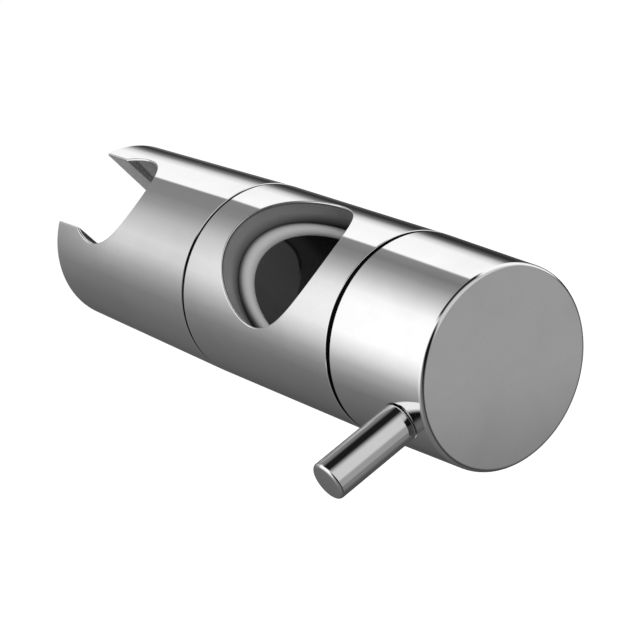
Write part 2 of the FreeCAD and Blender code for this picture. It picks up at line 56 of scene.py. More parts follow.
def linear(level: float) -> float:
    """Turns a display level from 0 to 1 into the light that shows as it."""
    return level / 12.92 if level <= 0.04045 else ((level + 0.055) / 1.055) ** 2.4


def rgba(colour: Colour | float) -> tuple[float, float, float, float]:
    """Gives a colour, or a grey that comes as one number, full cover."""
    return (*(colour if isinstance(colour, tuple) else (colour,) * 3), 1.0)


# Node trees

# A Mix node's sockets for its share and its two values, by their order, as all of them have the same few names
MIX_NUMBERS = (0, 2, 3)
MIX_COLOURS = (0, 6, 7)


class Nodes:
    """Lays nodes into one tree and joins them, for shaders and for Geometry Nodes alike."""

    def __init__(self, tree: bpy.types.NodeTree) -> None:
        """Keeps the tree that the nodes go into."""
        self.tree = tree

    def add(self, kind: str, **settings: object) -> bpy.types.Node:
        """Adds one node.

        Args:
            kind: the node's type name.
            settings: attributes that are set on it.

        Returns:
            The new node.
        """
        node = self.tree.nodes.new(kind)
        for name, value in settings.items():
            setattr(node, name, value)
        return node

    def feed(self, socket: bpy.types.NodeSocket, value: object) -> None:
        """Joins a socket to another one, or sets it to a constant.

        Args:
            socket: the input socket.
            value: an output socket, or a plain value.
        """
        if isinstance(value, bpy.types.NodeSocket):
            self.tree.links.new(value, socket)
        else:
            socket.default_value = value

    def apply(self, kind: str, settings: dict[str, object] | None = None, **values: object) -> bpy.types.NodeSocket:
        """Adds one node and feeds its inputs.

        Args:
            kind: the node's type name.
            settings: attributes that are set on it.
            values: its inputs, with underscores for spaces.

        Returns:
            Its first output.
        """
        node = self.add(kind, **(settings or {}))
        for name, value in values.items():
            self.feed(node.inputs[name.replace("_", " ")], value)
        return node.outputs[0]

    def maths(self, operation: str, *values: object) -> bpy.types.NodeSocket:
        """Adds a Math node.

        Args:
            operation: its operation.
            values: sockets or numbers for its inputs.

        Returns:
            Its result.
        """
        node = self.add("ShaderNodeMath", operation=operation)
        for socket, value in zip(node.inputs, values):
            self.feed(socket, value)
        return node.outputs[0]

    def step(self, value: object, low: float, high: float) -> bpy.types.NodeSocket:
        """Rises softly from 0 at a low value to 1 at a high one.

        Args:
            value: the socket that is tested.
            low: where the rise starts.
            high: where it ends.

        Returns:
            The mask.
        """
        node = self.add("ShaderNodeMapRange", interpolation_type="SMOOTHSTEP")
        for name, setting in (("Value", value), ("From Min", low), ("From Max", high)):
            self.feed(node.inputs[name], setting)
        return node.outputs["Result"]

    def blend(self, share: object, first: object, second: object) -> bpy.types.NodeSocket:
        """Goes from a first value to a second one.

        Args:
            share: 0 for the first, 1 for the second.
            first: a socket or number.
            second: a socket or number.

        Returns:
            The blended value.
        """
        node = self.add("ShaderNodeMix", data_type="FLOAT")
        for index, value in zip(MIX_NUMBERS, (share, first, second)):
            self.feed(node.inputs[index], value)
        return node.outputs[0]

    def mix(self, share: object, first: object, second: object) -> bpy.types.NodeSocket:
        """Goes from a first colour to a second one.

        Args:
            share: 0 for the first, 1 for the second.
            first: a socket, a colour, or a grey given as one number.
            second: a socket, a colour, or a grey given as one number.

        Returns:
            The mixed colour.
        """
        node = self.add("ShaderNodeMix", data_type="RGBA")
        colours = (part if isinstance(part, bpy.types.NodeSocket) else rgba(part) for part in (first, second))
        for index, value in zip(MIX_COLOURS, (share, *colours)):
            self.feed(node.inputs[index], value)
        return node.outputs[2]

    def ramp(self, value: object, stops: list[Level]) -> bpy.types.NodeSocket:
        """Reads a grey from a ramp.

        Args:
            value: where to read it.
            stops: positions from 0 to 1 with their levels of light.

        Returns:
            The grey as a colour.
        """
        node = self.add("ShaderNodeValToRGB")
        elements = node.color_ramp.elements
        while len(elements) < len(stops):
            elements.new(1.0)
        for element, (place, light) in zip(elements, stops):
            element.position = place
            element.color = rgba(light)
        self.feed(node.inputs["Fac"], value)
        return node.outputs["Color"]

    def coordinates(self, kind: str = "Object") -> bpy.types.NodeOutputs:
        """Splits texture coordinates.

        Args:
            kind: Object for a spot on the piece, or Generated for a direction in the world.

        Returns:
            Their X, Y and Z.
        """
        place = self.add("ShaderNodeSeparateXYZ")
        self.feed(place.inputs[0], self.add("ShaderNodeTexCoord").outputs[kind])
        return place.outputs

    def distance(self, across: object, up: object) -> bpy.types.NodeSocket:
        """The distance that two offsets at right angles to each other make."""
        squares = (self.maths("MULTIPLY", part, part) for part in (across, up))
        return self.maths("SQRT", self.maths("ADD", *squares))


class Group(Nodes):
    """A shader node group with named inputs and outputs, built once and placed in many materials."""

    def __init__(self, name: str, inputs: dict[str, float], outputs: dict[str, str]) -> None:
        """Starts the group.

        Args:
            name: the group's name.
            inputs: each input's name and the value it has if it isn't set.
            outputs: each output's name and socket type.
        """
        super().__init__(bpy.data.node_groups.new(name, "ShaderNodeTree"))
        for label, value in inputs.items():
            socket = self.tree.interface.new_socket(label, in_out="INPUT", socket_type="NodeSocketFloat")
            socket.default_value = value
        for label, kind in outputs.items():
            self.tree.interface.new_socket(label, in_out="OUTPUT", socket_type=kind)
        self.inputs = self.add("NodeGroupInput").outputs
        self.outputs = self.add("NodeGroupOutput").inputs

    def place_in(self, nodes: Nodes, **values: object) -> bpy.types.NodeOutputs:
        """Places the group in a material.

        Args:
            nodes: the material's nodes.
            values: its inputs, with underscores for spaces.

        Returns:
            The placed group's outputs.
        """
        node = nodes.add("ShaderNodeGroup", node_tree=self.tree)
        for name, value in values.items():
            nodes.feed(node.inputs[name.replace("_", " ")], value)
        return node.outputs


class GeometryTree(Nodes):
    """A Geometry Nodes tree with named inputs, which puts out one geometry."""

    def __init__(self, name: str, inputs: dict[str, str]) -> None:
        """Starts the tree.

        Args:
            name: the tree's name.
            inputs: each input's name and socket type.
        """
        super().__init__(bpy.data.node_groups.new(name, "GeometryNodeTree"))
        for label, kind in inputs.items():
            self.tree.interface.new_socket(label, in_out="INPUT", socket_type=kind)
        self.tree.interface.new_socket("Geometry", in_out="OUTPUT", socket_type="NodeSocketGeometry")
        self.inputs = self.add("NodeGroupInput").outputs
        self.outputs = self.add("NodeGroupOutput").inputs

    def by_index(self, kind: str, values: list[object]) -> bpy.types.NodeSocket:
        """Gives each point its own value.

        Args:
            kind: VECTOR or FLOAT.
            values: a socket or constant for each point in turn.

        Returns:
            The value for the point.
        """
        node = self.add("GeometryNodeIndexSwitch", data_type=kind)
        while len(node.index_switch_items) < len(values):
            node.index_switch_items.new()
        self.feed(node.inputs[0], self.add("GeometryNodeInputIndex").outputs[0])
        for socket, value in zip(node.inputs[1:], values):
            self.feed(socket, value)
        return node.outputs[0]

    def at(self, out: object, height: object) -> bpy.types.NodeSocket:
        """A point of an outline, from its distance from the axis and its height along it."""
        return self.apply("ShaderNodeCombineXYZ", X=out, Y=self.maths("MULTIPLY", height, -1.0))

    def make(self, name: str, sizes: dict[str, object]) -> bpy.types.Mesh:
        """Runs the tree once and keeps what it makes as a plain mesh.

        Args:
            name: the mesh's name.
            sizes: the tree's inputs, lengths in millimetres.

        Returns:
            The mesh.
        """
        bare = place(name, bpy.data.meshes.new(name))
        modifier = bare.modifiers.new(name, "NODES")
        modifier.node_group = self.tree
        for item in self.tree.interface.items_tree:
            if item.in_out == "INPUT":
                value = sizes[item.name]
                modifier[item.identifier] = value * MM if isinstance(value, float) else value
        weighted = bare.modifiers.new("even shading", "WEIGHTED_NORMAL")
        weighted.weight = 100
        weighted.keep_sharp = True
        mesh = bpy.data.meshes.new_from_object(bare.evaluated_get(bpy.context.evaluated_depsgraph_get()))
        bpy.data.objects.remove(bare)
        return mesh


# Shader groups that several finishes share

CLOUD_EDGES: Level = (0.42, 0.72)
SPECK_EDGES: Level = (0.62, 0.74)
SPECK_SHARE = 0.5
UNEVEN_SCALE = 700.0
RING_SHIFT = 12.0
FINE_SHARE = 0.35


def spots(nodes: Nodes, scale: object, detail: float) -> bpy.types.NodeSocket:
    """Adds noise on the piece's own coordinates.

    Args:
        nodes: the tree it goes into.
        scale: how many spots there are to a metre.
        detail: how many finer layers it has.

    Returns:
        The noise, about 0.5 on average.
    """
    place = nodes.add("ShaderNodeTexCoord").outputs["Object"]
    noise = nodes.add("ShaderNodeTexNoise")
    nodes.feed(noise.inputs["Vector"], place)
    nodes.feed(noise.inputs["Scale"], scale)
    nodes.feed(noise.inputs["Detail"], detail)
    return noise.outputs["Fac"]


def build_haze() -> Group:
    """The faint film that handling and hard water leave, as soft clouds with a few finer specks.

    Returns:
        The group.
    """
    group = Group("Handling haze", {"Cloud Scale": 60.0, "Speck Scale": 900.0}, {"Haze": "NodeSocketFloat"})
    clouds = group.step(spots(group, group.inputs["Cloud Scale"], detail=3.0), *CLOUD_EDGES)
    specks = group.step(spots(group, group.inputs["Speck Scale"], detail=1.0), *SPECK_EDGES)
    group.feed(group.outputs["Haze"], group.maths("MAXIMUM", clouds, group.maths("MULTIPLY", specks, SPECK_SHARE)))
    return group


def build_turning_marks() -> Group:
    """Fine rings that a lathe leaves round the bracket's axis, with uneven depth.

    Returns:
        The group.
    """
    outputs = {"Height": "NodeSocketFloat", "Tone": "NodeSocketFloat"}
    group = Group("Turning marks", {"Pitch Scale": 5000.0, "Unevenness": 0.6}, outputs)
    x, y, z = group.coordinates()
    phase = group.maths("MULTIPLY", group.maths("ADD", x, group.distance(y, z)), group.inputs["Pitch Scale"])
    rough = group.maths("MULTIPLY", spots(group, UNEVEN_SCALE, detail=4.0), group.inputs["Unevenness"])
    wave = group.maths("SINE", group.maths("MULTIPLY_ADD", rough, RING_SHIFT, phase))
    height = group.maths("MULTIPLY_ADD", wave, 0.5, 0.5)
    group.feed(group.outputs["Height"], height)
    group.feed(group.outputs["Tone"], group.maths("MULTIPLY", height, rough))
    return group


def build_grain() -> Group:
    """The even spark-eroded grain of a mould, with broad cloudy changes of tone under it.

    Returns:
        The group.
    """
    outputs = {"Height": "NodeSocketFloat", "Tone": "NodeSocketFloat"}
    group = Group("Moulded grain", {"Grain Scale": 6000.0, "Cloud Scale": 120.0}, outputs)
    fine = spots(group, group.inputs["Grain Scale"], detail=2.0)
    clouds = spots(group, group.inputs["Cloud Scale"], detail=4.0)
    group.feed(group.outputs["Height"], fine)
    broad = group.maths("MULTIPLY", clouds, 1.0 - FINE_SHARE)
    group.feed(group.outputs["Tone"], group.maths("MULTIPLY_ADD", fine, FINE_SHARE, broad))
    return group


def build_distances() -> Group:
    """How far a spot is from the rail's axis, from the bracket's own, and along it towards the holder, in metres.

    Returns:
        The group.
    """
    outputs = {"From Rail": "NodeSocketFloat", "From Bracket": "NodeSocketFloat", "To Holder": "NodeSocketFloat"}
    group = Group("Distances", {}, outputs)
    x, y, z = group.coordinates()
    group.feed(group.outputs["From Rail"], group.distance(x, y))
    group.feed(group.outputs["From Bracket"], group.distance(y, z))
    group.feed(group.outputs["To Holder"], group.maths("MULTIPLY", x, -1.0))
    return group


@dataclass
class SharedEffects:
    """The shader groups, each built once."""

    distances: Group = field(default_factory=build_distances)
    haze: Group = field(default_factory=build_haze)
    turning: Group = field(default_factory=build_turning_marks)
    grain: Group = field(default_factory=build_grain)


# Finishes


def new_material(name: str) -> tuple[bpy.types.Material, Nodes, bpy.types.Node]:
    """Starts a material with a Principled shader.

    Args:
        name: the material's name.

    Returns:
        The material, its nodes and its shader.
    """
    material = bpy.data.materials.new(name)
    material.use_nodes = True
    nodes = Nodes(material.node_tree)
    return material, nodes, material.node_tree.nodes["Principled BSDF"]


def add_relief(nodes: Nodes, shader: bpy.types.Node, height: bpy.types.NodeSocket, depth: float,
               strength: float = 1.0) -> None:
    """Gives a finish its fine relief.

    Args:
        nodes: the material's nodes.
        shader: its shader.
        height: the relief, from 0 to 1.
        depth: how deep it is, in metres.
        strength: how much of it shows.
    """
    bump = nodes.add("ShaderNodeBump")
    bump.inputs["Strength"].default_value = strength
    bump.inputs["Distance"].default_value = depth
    nodes.feed(bump.inputs["Height"], height)
    nodes.feed(shader.inputs["Normal"], bump.outputs["Normal"])


def lighter(colour: Colour, change: float) -> Colour:
    """Makes a colour lighter by a share of itself, or with a change below 0 darker."""
    return tuple(min(1.0, part * (1.0 + change)) for part in colour)


def shade_by(nodes: Nodes, distance: bpy.types.NodeSocket, stops: tuple[Level, ...]) -> bpy.types.NodeSocket:
    """Reads a share of light from a distance.

    Args:
        nodes: the material's nodes.
        distance: the distance in metres.
        stops: distances in millimetres with the share at each.

    Returns:
        The share.
    """
    reach = 100.0
    place = nodes.maths("MULTIPLY", distance, 1.0 / (reach * MM))
    return nodes.ramp(place, [(out / reach, share) for out, share in stops])


@dataclass(frozen=True)
class Chrome:
    """Bright chrome plate on polished brass."""

    name: str = "chrome_plate"
    colour: Colour = (0.825, 0.825, 0.827)
    hazed: Colour = (0.795, 0.795, 0.797)
    roughness: float = 0.035
    haze_roughness: float = 0.02
    cloud_scale: float = 70.0
    speck_scale: float = 1100.0
    wave_scale: float = 180.0
    wave_height: float = 0.0000015
    grain_scale: float = 1700.0
    grain_cloud_scale: float = 260.0
    grain_change: float = 0.05
    metallic: float = 1.0
    # Painted shade where stops are given: the colour's share falls by a distance from an axis or along the bracket
    shade_from: str = "From Bracket"
    shade_stops: tuple[Level, ...] = ()

    def build(self, shared: SharedEffects) -> bpy.types.Material:
        """Makes the material.

        Args:
            shared: the shader groups.

        Returns:
            The material.
        """
        material, nodes, shader = new_material(self.name)
        shader.inputs["Metallic"].default_value = self.metallic
        haze = shared.haze.place_in(nodes, Cloud_Scale=self.cloud_scale, Speck_Scale=self.speck_scale)["Haze"]
        grain = shared.grain.place_in(nodes, Grain_Scale=self.grain_scale, Cloud_Scale=self.grain_cloud_scale)["Tone"]
        plates = [nodes.mix(haze, lighter(self.colour, change), lighter(self.hazed, change))
                  for change in (-self.grain_change, self.grain_change)]
        tone = nodes.mix(grain, *plates)
        if self.shade_stops:
            shade = shade_by(nodes, shared.distances.place_in(nodes)[self.shade_from], self.shade_stops)
            tone = nodes.mix(shade, 0.0, tone)
        nodes.feed(shader.inputs["Base Color"], tone)
        nodes.feed(shader.inputs["Roughness"], nodes.maths("MULTIPLY_ADD", haze, self.haze_roughness, self.roughness))
        add_relief(nodes, shader, spots(nodes, self.wave_scale, detail=1.0), self.wave_height)
        return material


@dataclass(frozen=True)
class Moulded:
    """Moulded plastic or rubber with a fine grain."""

    name: str
    colour: Colour
    tone_change: float
    roughness: float
    specular: float = 0.5
    grain_scale: float = 6000.0
    grain_height: float = 0.000006
    grain_roughness: float = 0.2

    def shade(self, nodes: Nodes, shared: SharedEffects) -> bpy.types.NodeSocket | None:
        """The share of its own colour that each spot keeps where painted shade or a seam darkens it, or None for all
        of it everywhere.
        """
        return None

    def build(self, shared: SharedEffects) -> bpy.types.Material:
        """Makes the material.

        Args:
            shared: the shader groups.

        Returns:
            The material.
        """
        material, nodes, shader = new_material(self.name)
        grain = shared.grain.place_in(nodes, Grain_Scale=self.grain_scale)
        tone = nodes.mix(grain["Tone"], *(lighter(self.colour, change)
                                          for change in (-self.tone_change, self.tone_change)))
        shade = self.shade(nodes, shared)
        if shade is not None:
            tone = nodes.mix(shade, 0.0, tone)
        nodes.feed(shader.inputs["Base Color"], tone)
        nodes.feed(shader.inputs["Roughness"], nodes.maths("MULTIPLY_ADD", grain["Tone"], self.grain_roughness,
                                                           self.roughness - self.grain_roughness / 2))
        shader.inputs["Specular IOR Level"].default_value = self.specular
        add_relief(nodes, shader, grain["Height"], self.grain_height)
        return material


@dataclass(frozen=True)
class BushAcetal(Moulded):
    """The bush's light grey acetal, with painted shade that darkens it in the groove outside its lip."""

    name: str = "grey_acetal"
    colour: Colour = (0.36, 0.36, 0.36)
    tone_change: float = 0.05
    roughness: float = 0.42
    # Painted shade: the share of the colour kept falls from the lip outwards into the groove between bush and body
    stops: tuple[Level, ...] = ((13.3, 1.0), (14.3, 0.85), (15.1, 0.45), (15.5, 0.2), (15.9, 0.06))

    def shade(self, nodes: Nodes, shared: SharedEffects) -> bpy.types.NodeSocket:
        """Falls off with the distance from the rail's axis, as painted shade in the groove."""
        return shade_by(nodes, shared.distances.place_in(nodes)["From Rail"], self.stops)


@dataclass(frozen=True)
class CradleAcetal(Moulded):
    """The cradle's near-black acetal, with the curved seam of its insert, darker past the seam, and painted shade deep
    towards +Y.
    """

    name: str = "dark_acetal_cradle"
    colour: Colour = (0.05, 0.05, 0.051)
    tone_change: float = 0.2
    roughness: float = 0.45
    specular: float = 0.3
    seam_centre: tuple[float, float] = (-5.4, 10.6)
    seam_radius: float = 11.1
    seam_half: float = 0.3
    seam_edges: Level = (0.4, 1.6)
    seam_level: float = 0.1
    seam_low: Level = (5.0, 2.5)
    past_seam: float = 0.34
    # Painted shade: from these Y offsets on, the colour falls to the level below, where shade lies deep in the cradle
    deep: Level = (7.0, 9.5)
    deep_shade_level: float = 0.2

    def shade(self, nodes: Nodes, shared: SharedEffects) -> bpy.types.NodeSocket:
        """Finds the share of its own colour that each spot keeps: little along the seam, less past it, and painted
        shade deeper towards +Y.

        Args:
            nodes: the material's nodes.
            shared: the shader groups, none of which it needs.

        Returns:
            The share.
        """
        _, y, z = nodes.coordinates()
        out = nodes.distance(*(nodes.maths("SUBTRACT", part, middle * MM)
                               for part, middle in zip((y, z), self.seam_centre)))
        past = nodes.maths("SUBTRACT", out, self.seam_radius * MM)
        level = nodes.blend(nodes.step(past, 0.0, self.seam_half * MM), 1.0, self.past_seam)
        deep, seam_low = (nodes.step(part, start * MM, end * MM)
                          for part, (start, end) in ((y, self.deep), (z, self.seam_low)))
        # Painted shade deep towards +Y
        level = nodes.maths("MULTIPLY", level, nodes.blend(deep, 1.0, self.deep_shade_level))
        off_seam = nodes.step(nodes.maths("ABSOLUTE", past), *(edge * self.seam_half * MM for edge in self.seam_edges))
        off_seam = nodes.maths("MAXIMUM", off_seam, seam_low)
        return nodes.maths("MULTIPLY", level, nodes.blend(off_seam, self.seam_level, 1.0))


@dataclass(frozen=True)
class TurnedMetal:
    """Bare metal as it leaves the lathe."""

    name: str
    colour: Colour
    worn: Colour
    roughness: float
    mark_height: float = 0.000008
    mark_strength: float = 0.6
    mark_roughness: float = 0.15

    def build(self, shared: SharedEffects) -> bpy.types.Material:
        """Makes the material.

        Args:
            shared: the shader groups.

        Returns:
            The material.
        """
        material, nodes, shader = new_material(self.name)
        marks = shared.turning.place_in(nodes)
        haze = shared.haze.place_in(nodes)["Haze"]
        shader.inputs["Metallic"].default_value = 1.0
        tone = nodes.maths("MAXIMUM", marks["Tone"], haze)
        nodes.feed(shader.inputs["Base Color"], nodes.mix(tone, self.colour, self.worn))
        nodes.feed(shader.inputs["Roughness"], nodes.maths("MULTIPLY_ADD", tone, self.mark_roughness,
                                                           self.roughness))
        add_relief(nodes, shader, marks["Height"], self.mark_height, self.mark_strength)
        return material


class Finish(Enum):
    """The finishes of this slider, by the record's material slots, with the bored walls of a chromed piece."""

    CHROME = "chrome"
    BORED_CHROME = "bored_chrome"
    SEAT_CHROME = "seat_chrome"
    SLOT_CHROME = "slot_chrome"
    # Painted shade: near-black chrome on the faces in the joints and hollows
    JOINT_FACE = "joint_face"
    GREY_PLASTIC = "grey_plastic"
    DARK_PLASTIC = "dark_plastic"
    CRADLE_PLASTIC = "cradle_plastic"
    RUBBER = "rubber"
    BRASS = "brass"
    STEEL = "steel"


class Finishes:
    """Builds each finish once."""

    def __init__(self) -> None:
        """Builds the shared groups and every material."""
        shared = SharedEffects()
        makers = {
            Finish.CHROME: Chrome(),
            # Painted shade: the bore's walls darken deeper into the bore, with a painted dark line just under the
            # rounded rim
            Finish.BORED_CHROME: Chrome("chrome_bored", (0.4, 0.4, 0.405), (0.34, 0.34, 0.345), 0.4, 0.1,
                                        metallic=0.55, shade_stops=((16.2, 0.3), (17.6, 0.62), (19.0, 0.95),
                                                                    (21.1, 0.9), (21.5, 0.4), (22.0, 0.35))),
            # Painted dark reflection: the seat's wall turns dark near the sill, past 70 mm towards the holder's free
            # end
            Finish.SEAT_CHROME: Chrome("chrome_seat", (0.68, 0.68, 0.685), (0.62, 0.62, 0.625), 0.14, 0.1,
                                       metallic=0.8, shade_from="To Holder",
                                       shade_stops=((50.0, 1.0), (69.7, 1.0), (70.2, 0.28), (80.0, 0.28))),
            Finish.SLOT_CHROME: Chrome("chrome_slot", (0.7, 0.7, 0.705), (0.64, 0.64, 0.645), 0.3, 0.1,
                                       metallic=0.5),
            # Painted shade: the chrome faces in the joints and hollows are made near black
            Finish.JOINT_FACE: Chrome("chrome_shaded_in_the_joints", (0.1, 0.1, 0.102), (0.08, 0.08, 0.082), 0.3, 0.1),
            Finish.GREY_PLASTIC: BushAcetal(),
            Finish.DARK_PLASTIC: Moulded("dark_acetal", (0.045, 0.045, 0.048), 0.2, 0.4),
            Finish.CRADLE_PLASTIC: CradleAcetal(),
            Finish.RUBBER: Moulded("black_rubber", (0.03, 0.03, 0.03), 0.25, 0.62, specular=0.3, grain_scale=3500.0),
            Finish.BRASS: TurnedMetal("turned_brass", (0.75, 0.6, 0.3), (0.6, 0.45, 0.2), 0.22),
            Finish.STEEL: TurnedMetal("bright_steel", (0.6, 0.6, 0.62), (0.48, 0.48, 0.5), 0.25),
        }
        self.materials = {finish: maker.build(shared) for finish, maker in makers.items()}

    def dress(self, piece: bpy.types.Object, *finishes: Finish) -> None:
        """Gives a piece its materials.

        Args:
            piece: the piece.
            finishes: the finish of each of its slots.
        """
        slots = piece.data.materials
        while len(slots) < len(finishes):
            slots.append(None)
        for index, finish in enumerate(finishes):
            slots[index] = self.materials[finish]


def stand_for(piece: bpy.types.Object, node: str, body: str) -> bpy.types.Object:
    """Puts a finished piece in the place of a CAD node.

    Args:
        piece: the piece.
        node: the node that it replaces.
        body: the body that it rides on.

    Returns:
        The piece.
    """
    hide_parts(node)
    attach(piece, body)
    return piece


# Walls that the chromed pieces are made of


class Axis(Enum):
    """The axes that walls are turned about."""

    BRACKET = "x"
    RAIL = "z"


@dataclass(frozen=True)
class Wall:
    """A cylinder or cone about the bracket's axis, or about one along the rail."""

    axis: Axis
    radius: float
    growth: float = 0.0
    place: float = 0.0
    outside: bool = True

    def _split(self, points: Array) -> tuple[Array, Array, Array]:
        """Returns the heights along the axis and the two offsets across it."""
        x, y, z = points[..., 0] - self.place, points[..., 1], points[..., 2]
        return (x, y, z) if self.axis is Axis.BRACKET else (z, x, y)

    def _join(self, along: Array, across: Array, up: Array) -> Array:
        """Returns points or directions from their parts, without the axis's place."""
        parts = (along, across, up) if self.axis is Axis.BRACKET else (across, up, along)
        return np.stack(np.broadcast_arrays(*parts), axis=-1)

    @property
    def _lean(self) -> float:
        """Cosine of the wall's lean, below 0 where the metal is outside it."""
        return (1 if self.outside else -1) / math.hypot(1.0, self.growth)

    def gap(self, points: Array) -> Array:
        """Distance of points from the wall, above 0 where there is no metal."""
        along, across, up = self._split(points)
        return (np.hypot(across, up) - self.radius - self.growth * along) * self._lean

    def normal(self, points: Array) -> Array:
        """Directions straight out of the metal.

        Args:
            points: points near the wall.

        Returns:
            Unit directions.
        """
        along, across, up = self._split(points)
        out = np.hypot(across, up)
        return self._join(np.full_like(along, -self.growth), across / out, up / out) * self._lean

    def flattened(self, points: Array) -> Array:
        """Heights along the axis and angles round it, in radians."""
        along, across, up = self._split(points)
        return np.stack([along, np.arctan2(up, across)], axis=-1)

    def raised(self, flat: Array) -> Array:
        """Points of the wall from heights and angles.

        Args:
            flat: heights along the axis with angles round it, in radians.

        Returns:
            The points.
        """
        along, angle = flat[..., 0], flat[..., 1]
        out = self.radius + self.growth * along
        points = self._join(along, out * np.cos(angle), out * np.sin(angle))
        points[..., 0] += self.place
        return points


@dataclass(frozen=True)
class Flat:
    """A plane face square to one of the axes."""

    axis: int
    place: float
    side: int

    def gap(self, points: Array) -> Array:
        """Distance of points from the face, above 0 where there is no metal."""
        return (points[..., self.axis] - self.place) * self.side

    def normal(self, points: Array) -> Array:
        """Directions straight out of the metal.

        Args:
            points: points near the face.

        Returns:
            Unit directions.
        """
        normals = np.zeros(points.shape)
        normals[..., self.axis] = self.side
        return normals

    def flattened(self, points: Array) -> Array:
        """The two coordinates in the face."""
        return np.delete(points, self.axis, axis=-1)

    def raised(self, flat: Array) -> Array:
        """Points of the face from their two coordinates."""
        return np.insert(flat, self.axis, self.place, axis=-1)


Surface = Wall | Flat


NO_TURN = 1e-9
CLOSE_ENOUGH = 1e-13
MOST_TRIES = 40


def turned_between(first: Array, second: Array, share: Array) -> Array:
    """Directions on the shortest turn from one to another.

    Args:
        first: unit directions.
        second: unit directions.
        share: how far the turn has gone, from 0 to 1.

    Returns:
        Unit directions.
    """
    angle = np.arccos(np.clip((first * second).sum(-1, keepdims=True), -1.0, 1.0))
    small = angle < NO_TURN
    sine = np.where(small, 1.0, np.sin(angle))
    near = np.where(small, 1.0 - share, np.sin((1.0 - share) * angle) / sine)
    far = np.where(small, share, np.sin(share * angle) / sine)
    return near * first + far * second


def ball_centres(radius: Array | float, surfaces: list[Surface], guess: Array,
                 sections: Array | None = None) -> Array:
    """Where a ball lies that touches surfaces from inside the metal.

    Args:
        radius: the ball's radius, one for all or one for each.
        surfaces: two surfaces, or three for a corner.
        guess: rough centres.
        sections: with two surfaces, normals of the planes that each centre stays in.

    Returns:
        The centres.
    """
    centres = guess.astype(float)
    for _ in range(MOST_TRIES):
        rows = [surface.normal(centres) for surface in surfaces]
        misses = [surface.gap(centres) + radius for surface in surfaces]
        if sections is not None:
            rows.append(np.broadcast_to(sections, centres.shape))
            misses.append(((centres - guess) * sections).sum(-1))
        step = np.linalg.solve(np.stack(rows, axis=-2), np.stack(misses, axis=-1)[..., None])[..., 0]
        centres = centres - step
        if np.abs(step).max() < CLOSE_ENOUGH:
            break
    return centres


@dataclass(frozen=True)
class Round:
    """A rounded edge: the rolling ball's centres, its radius and its two contact directions."""

    centres: Array
    radius: Array
    first: Array
    second: Array

    @classmethod
    def between(cls, first: Surface, second: Surface, centres: Array, radius: Array | float) -> "Round":
        """The round between two surfaces for known centres."""
        size = np.broadcast_to(np.asarray(radius, float), centres.shape[:-1])[..., None]
        return cls(centres, size, first.normal(centres), second.normal(centres))

    @property
    def on_first(self) -> Array:
        """The line along which the round leaves the first surface."""
        return self.centres + self.radius * self.first

    @property
    def on_second(self) -> Array:
        """The line along which the round leaves the second surface."""
        return self.centres + self.radius * self.second


# Meshes


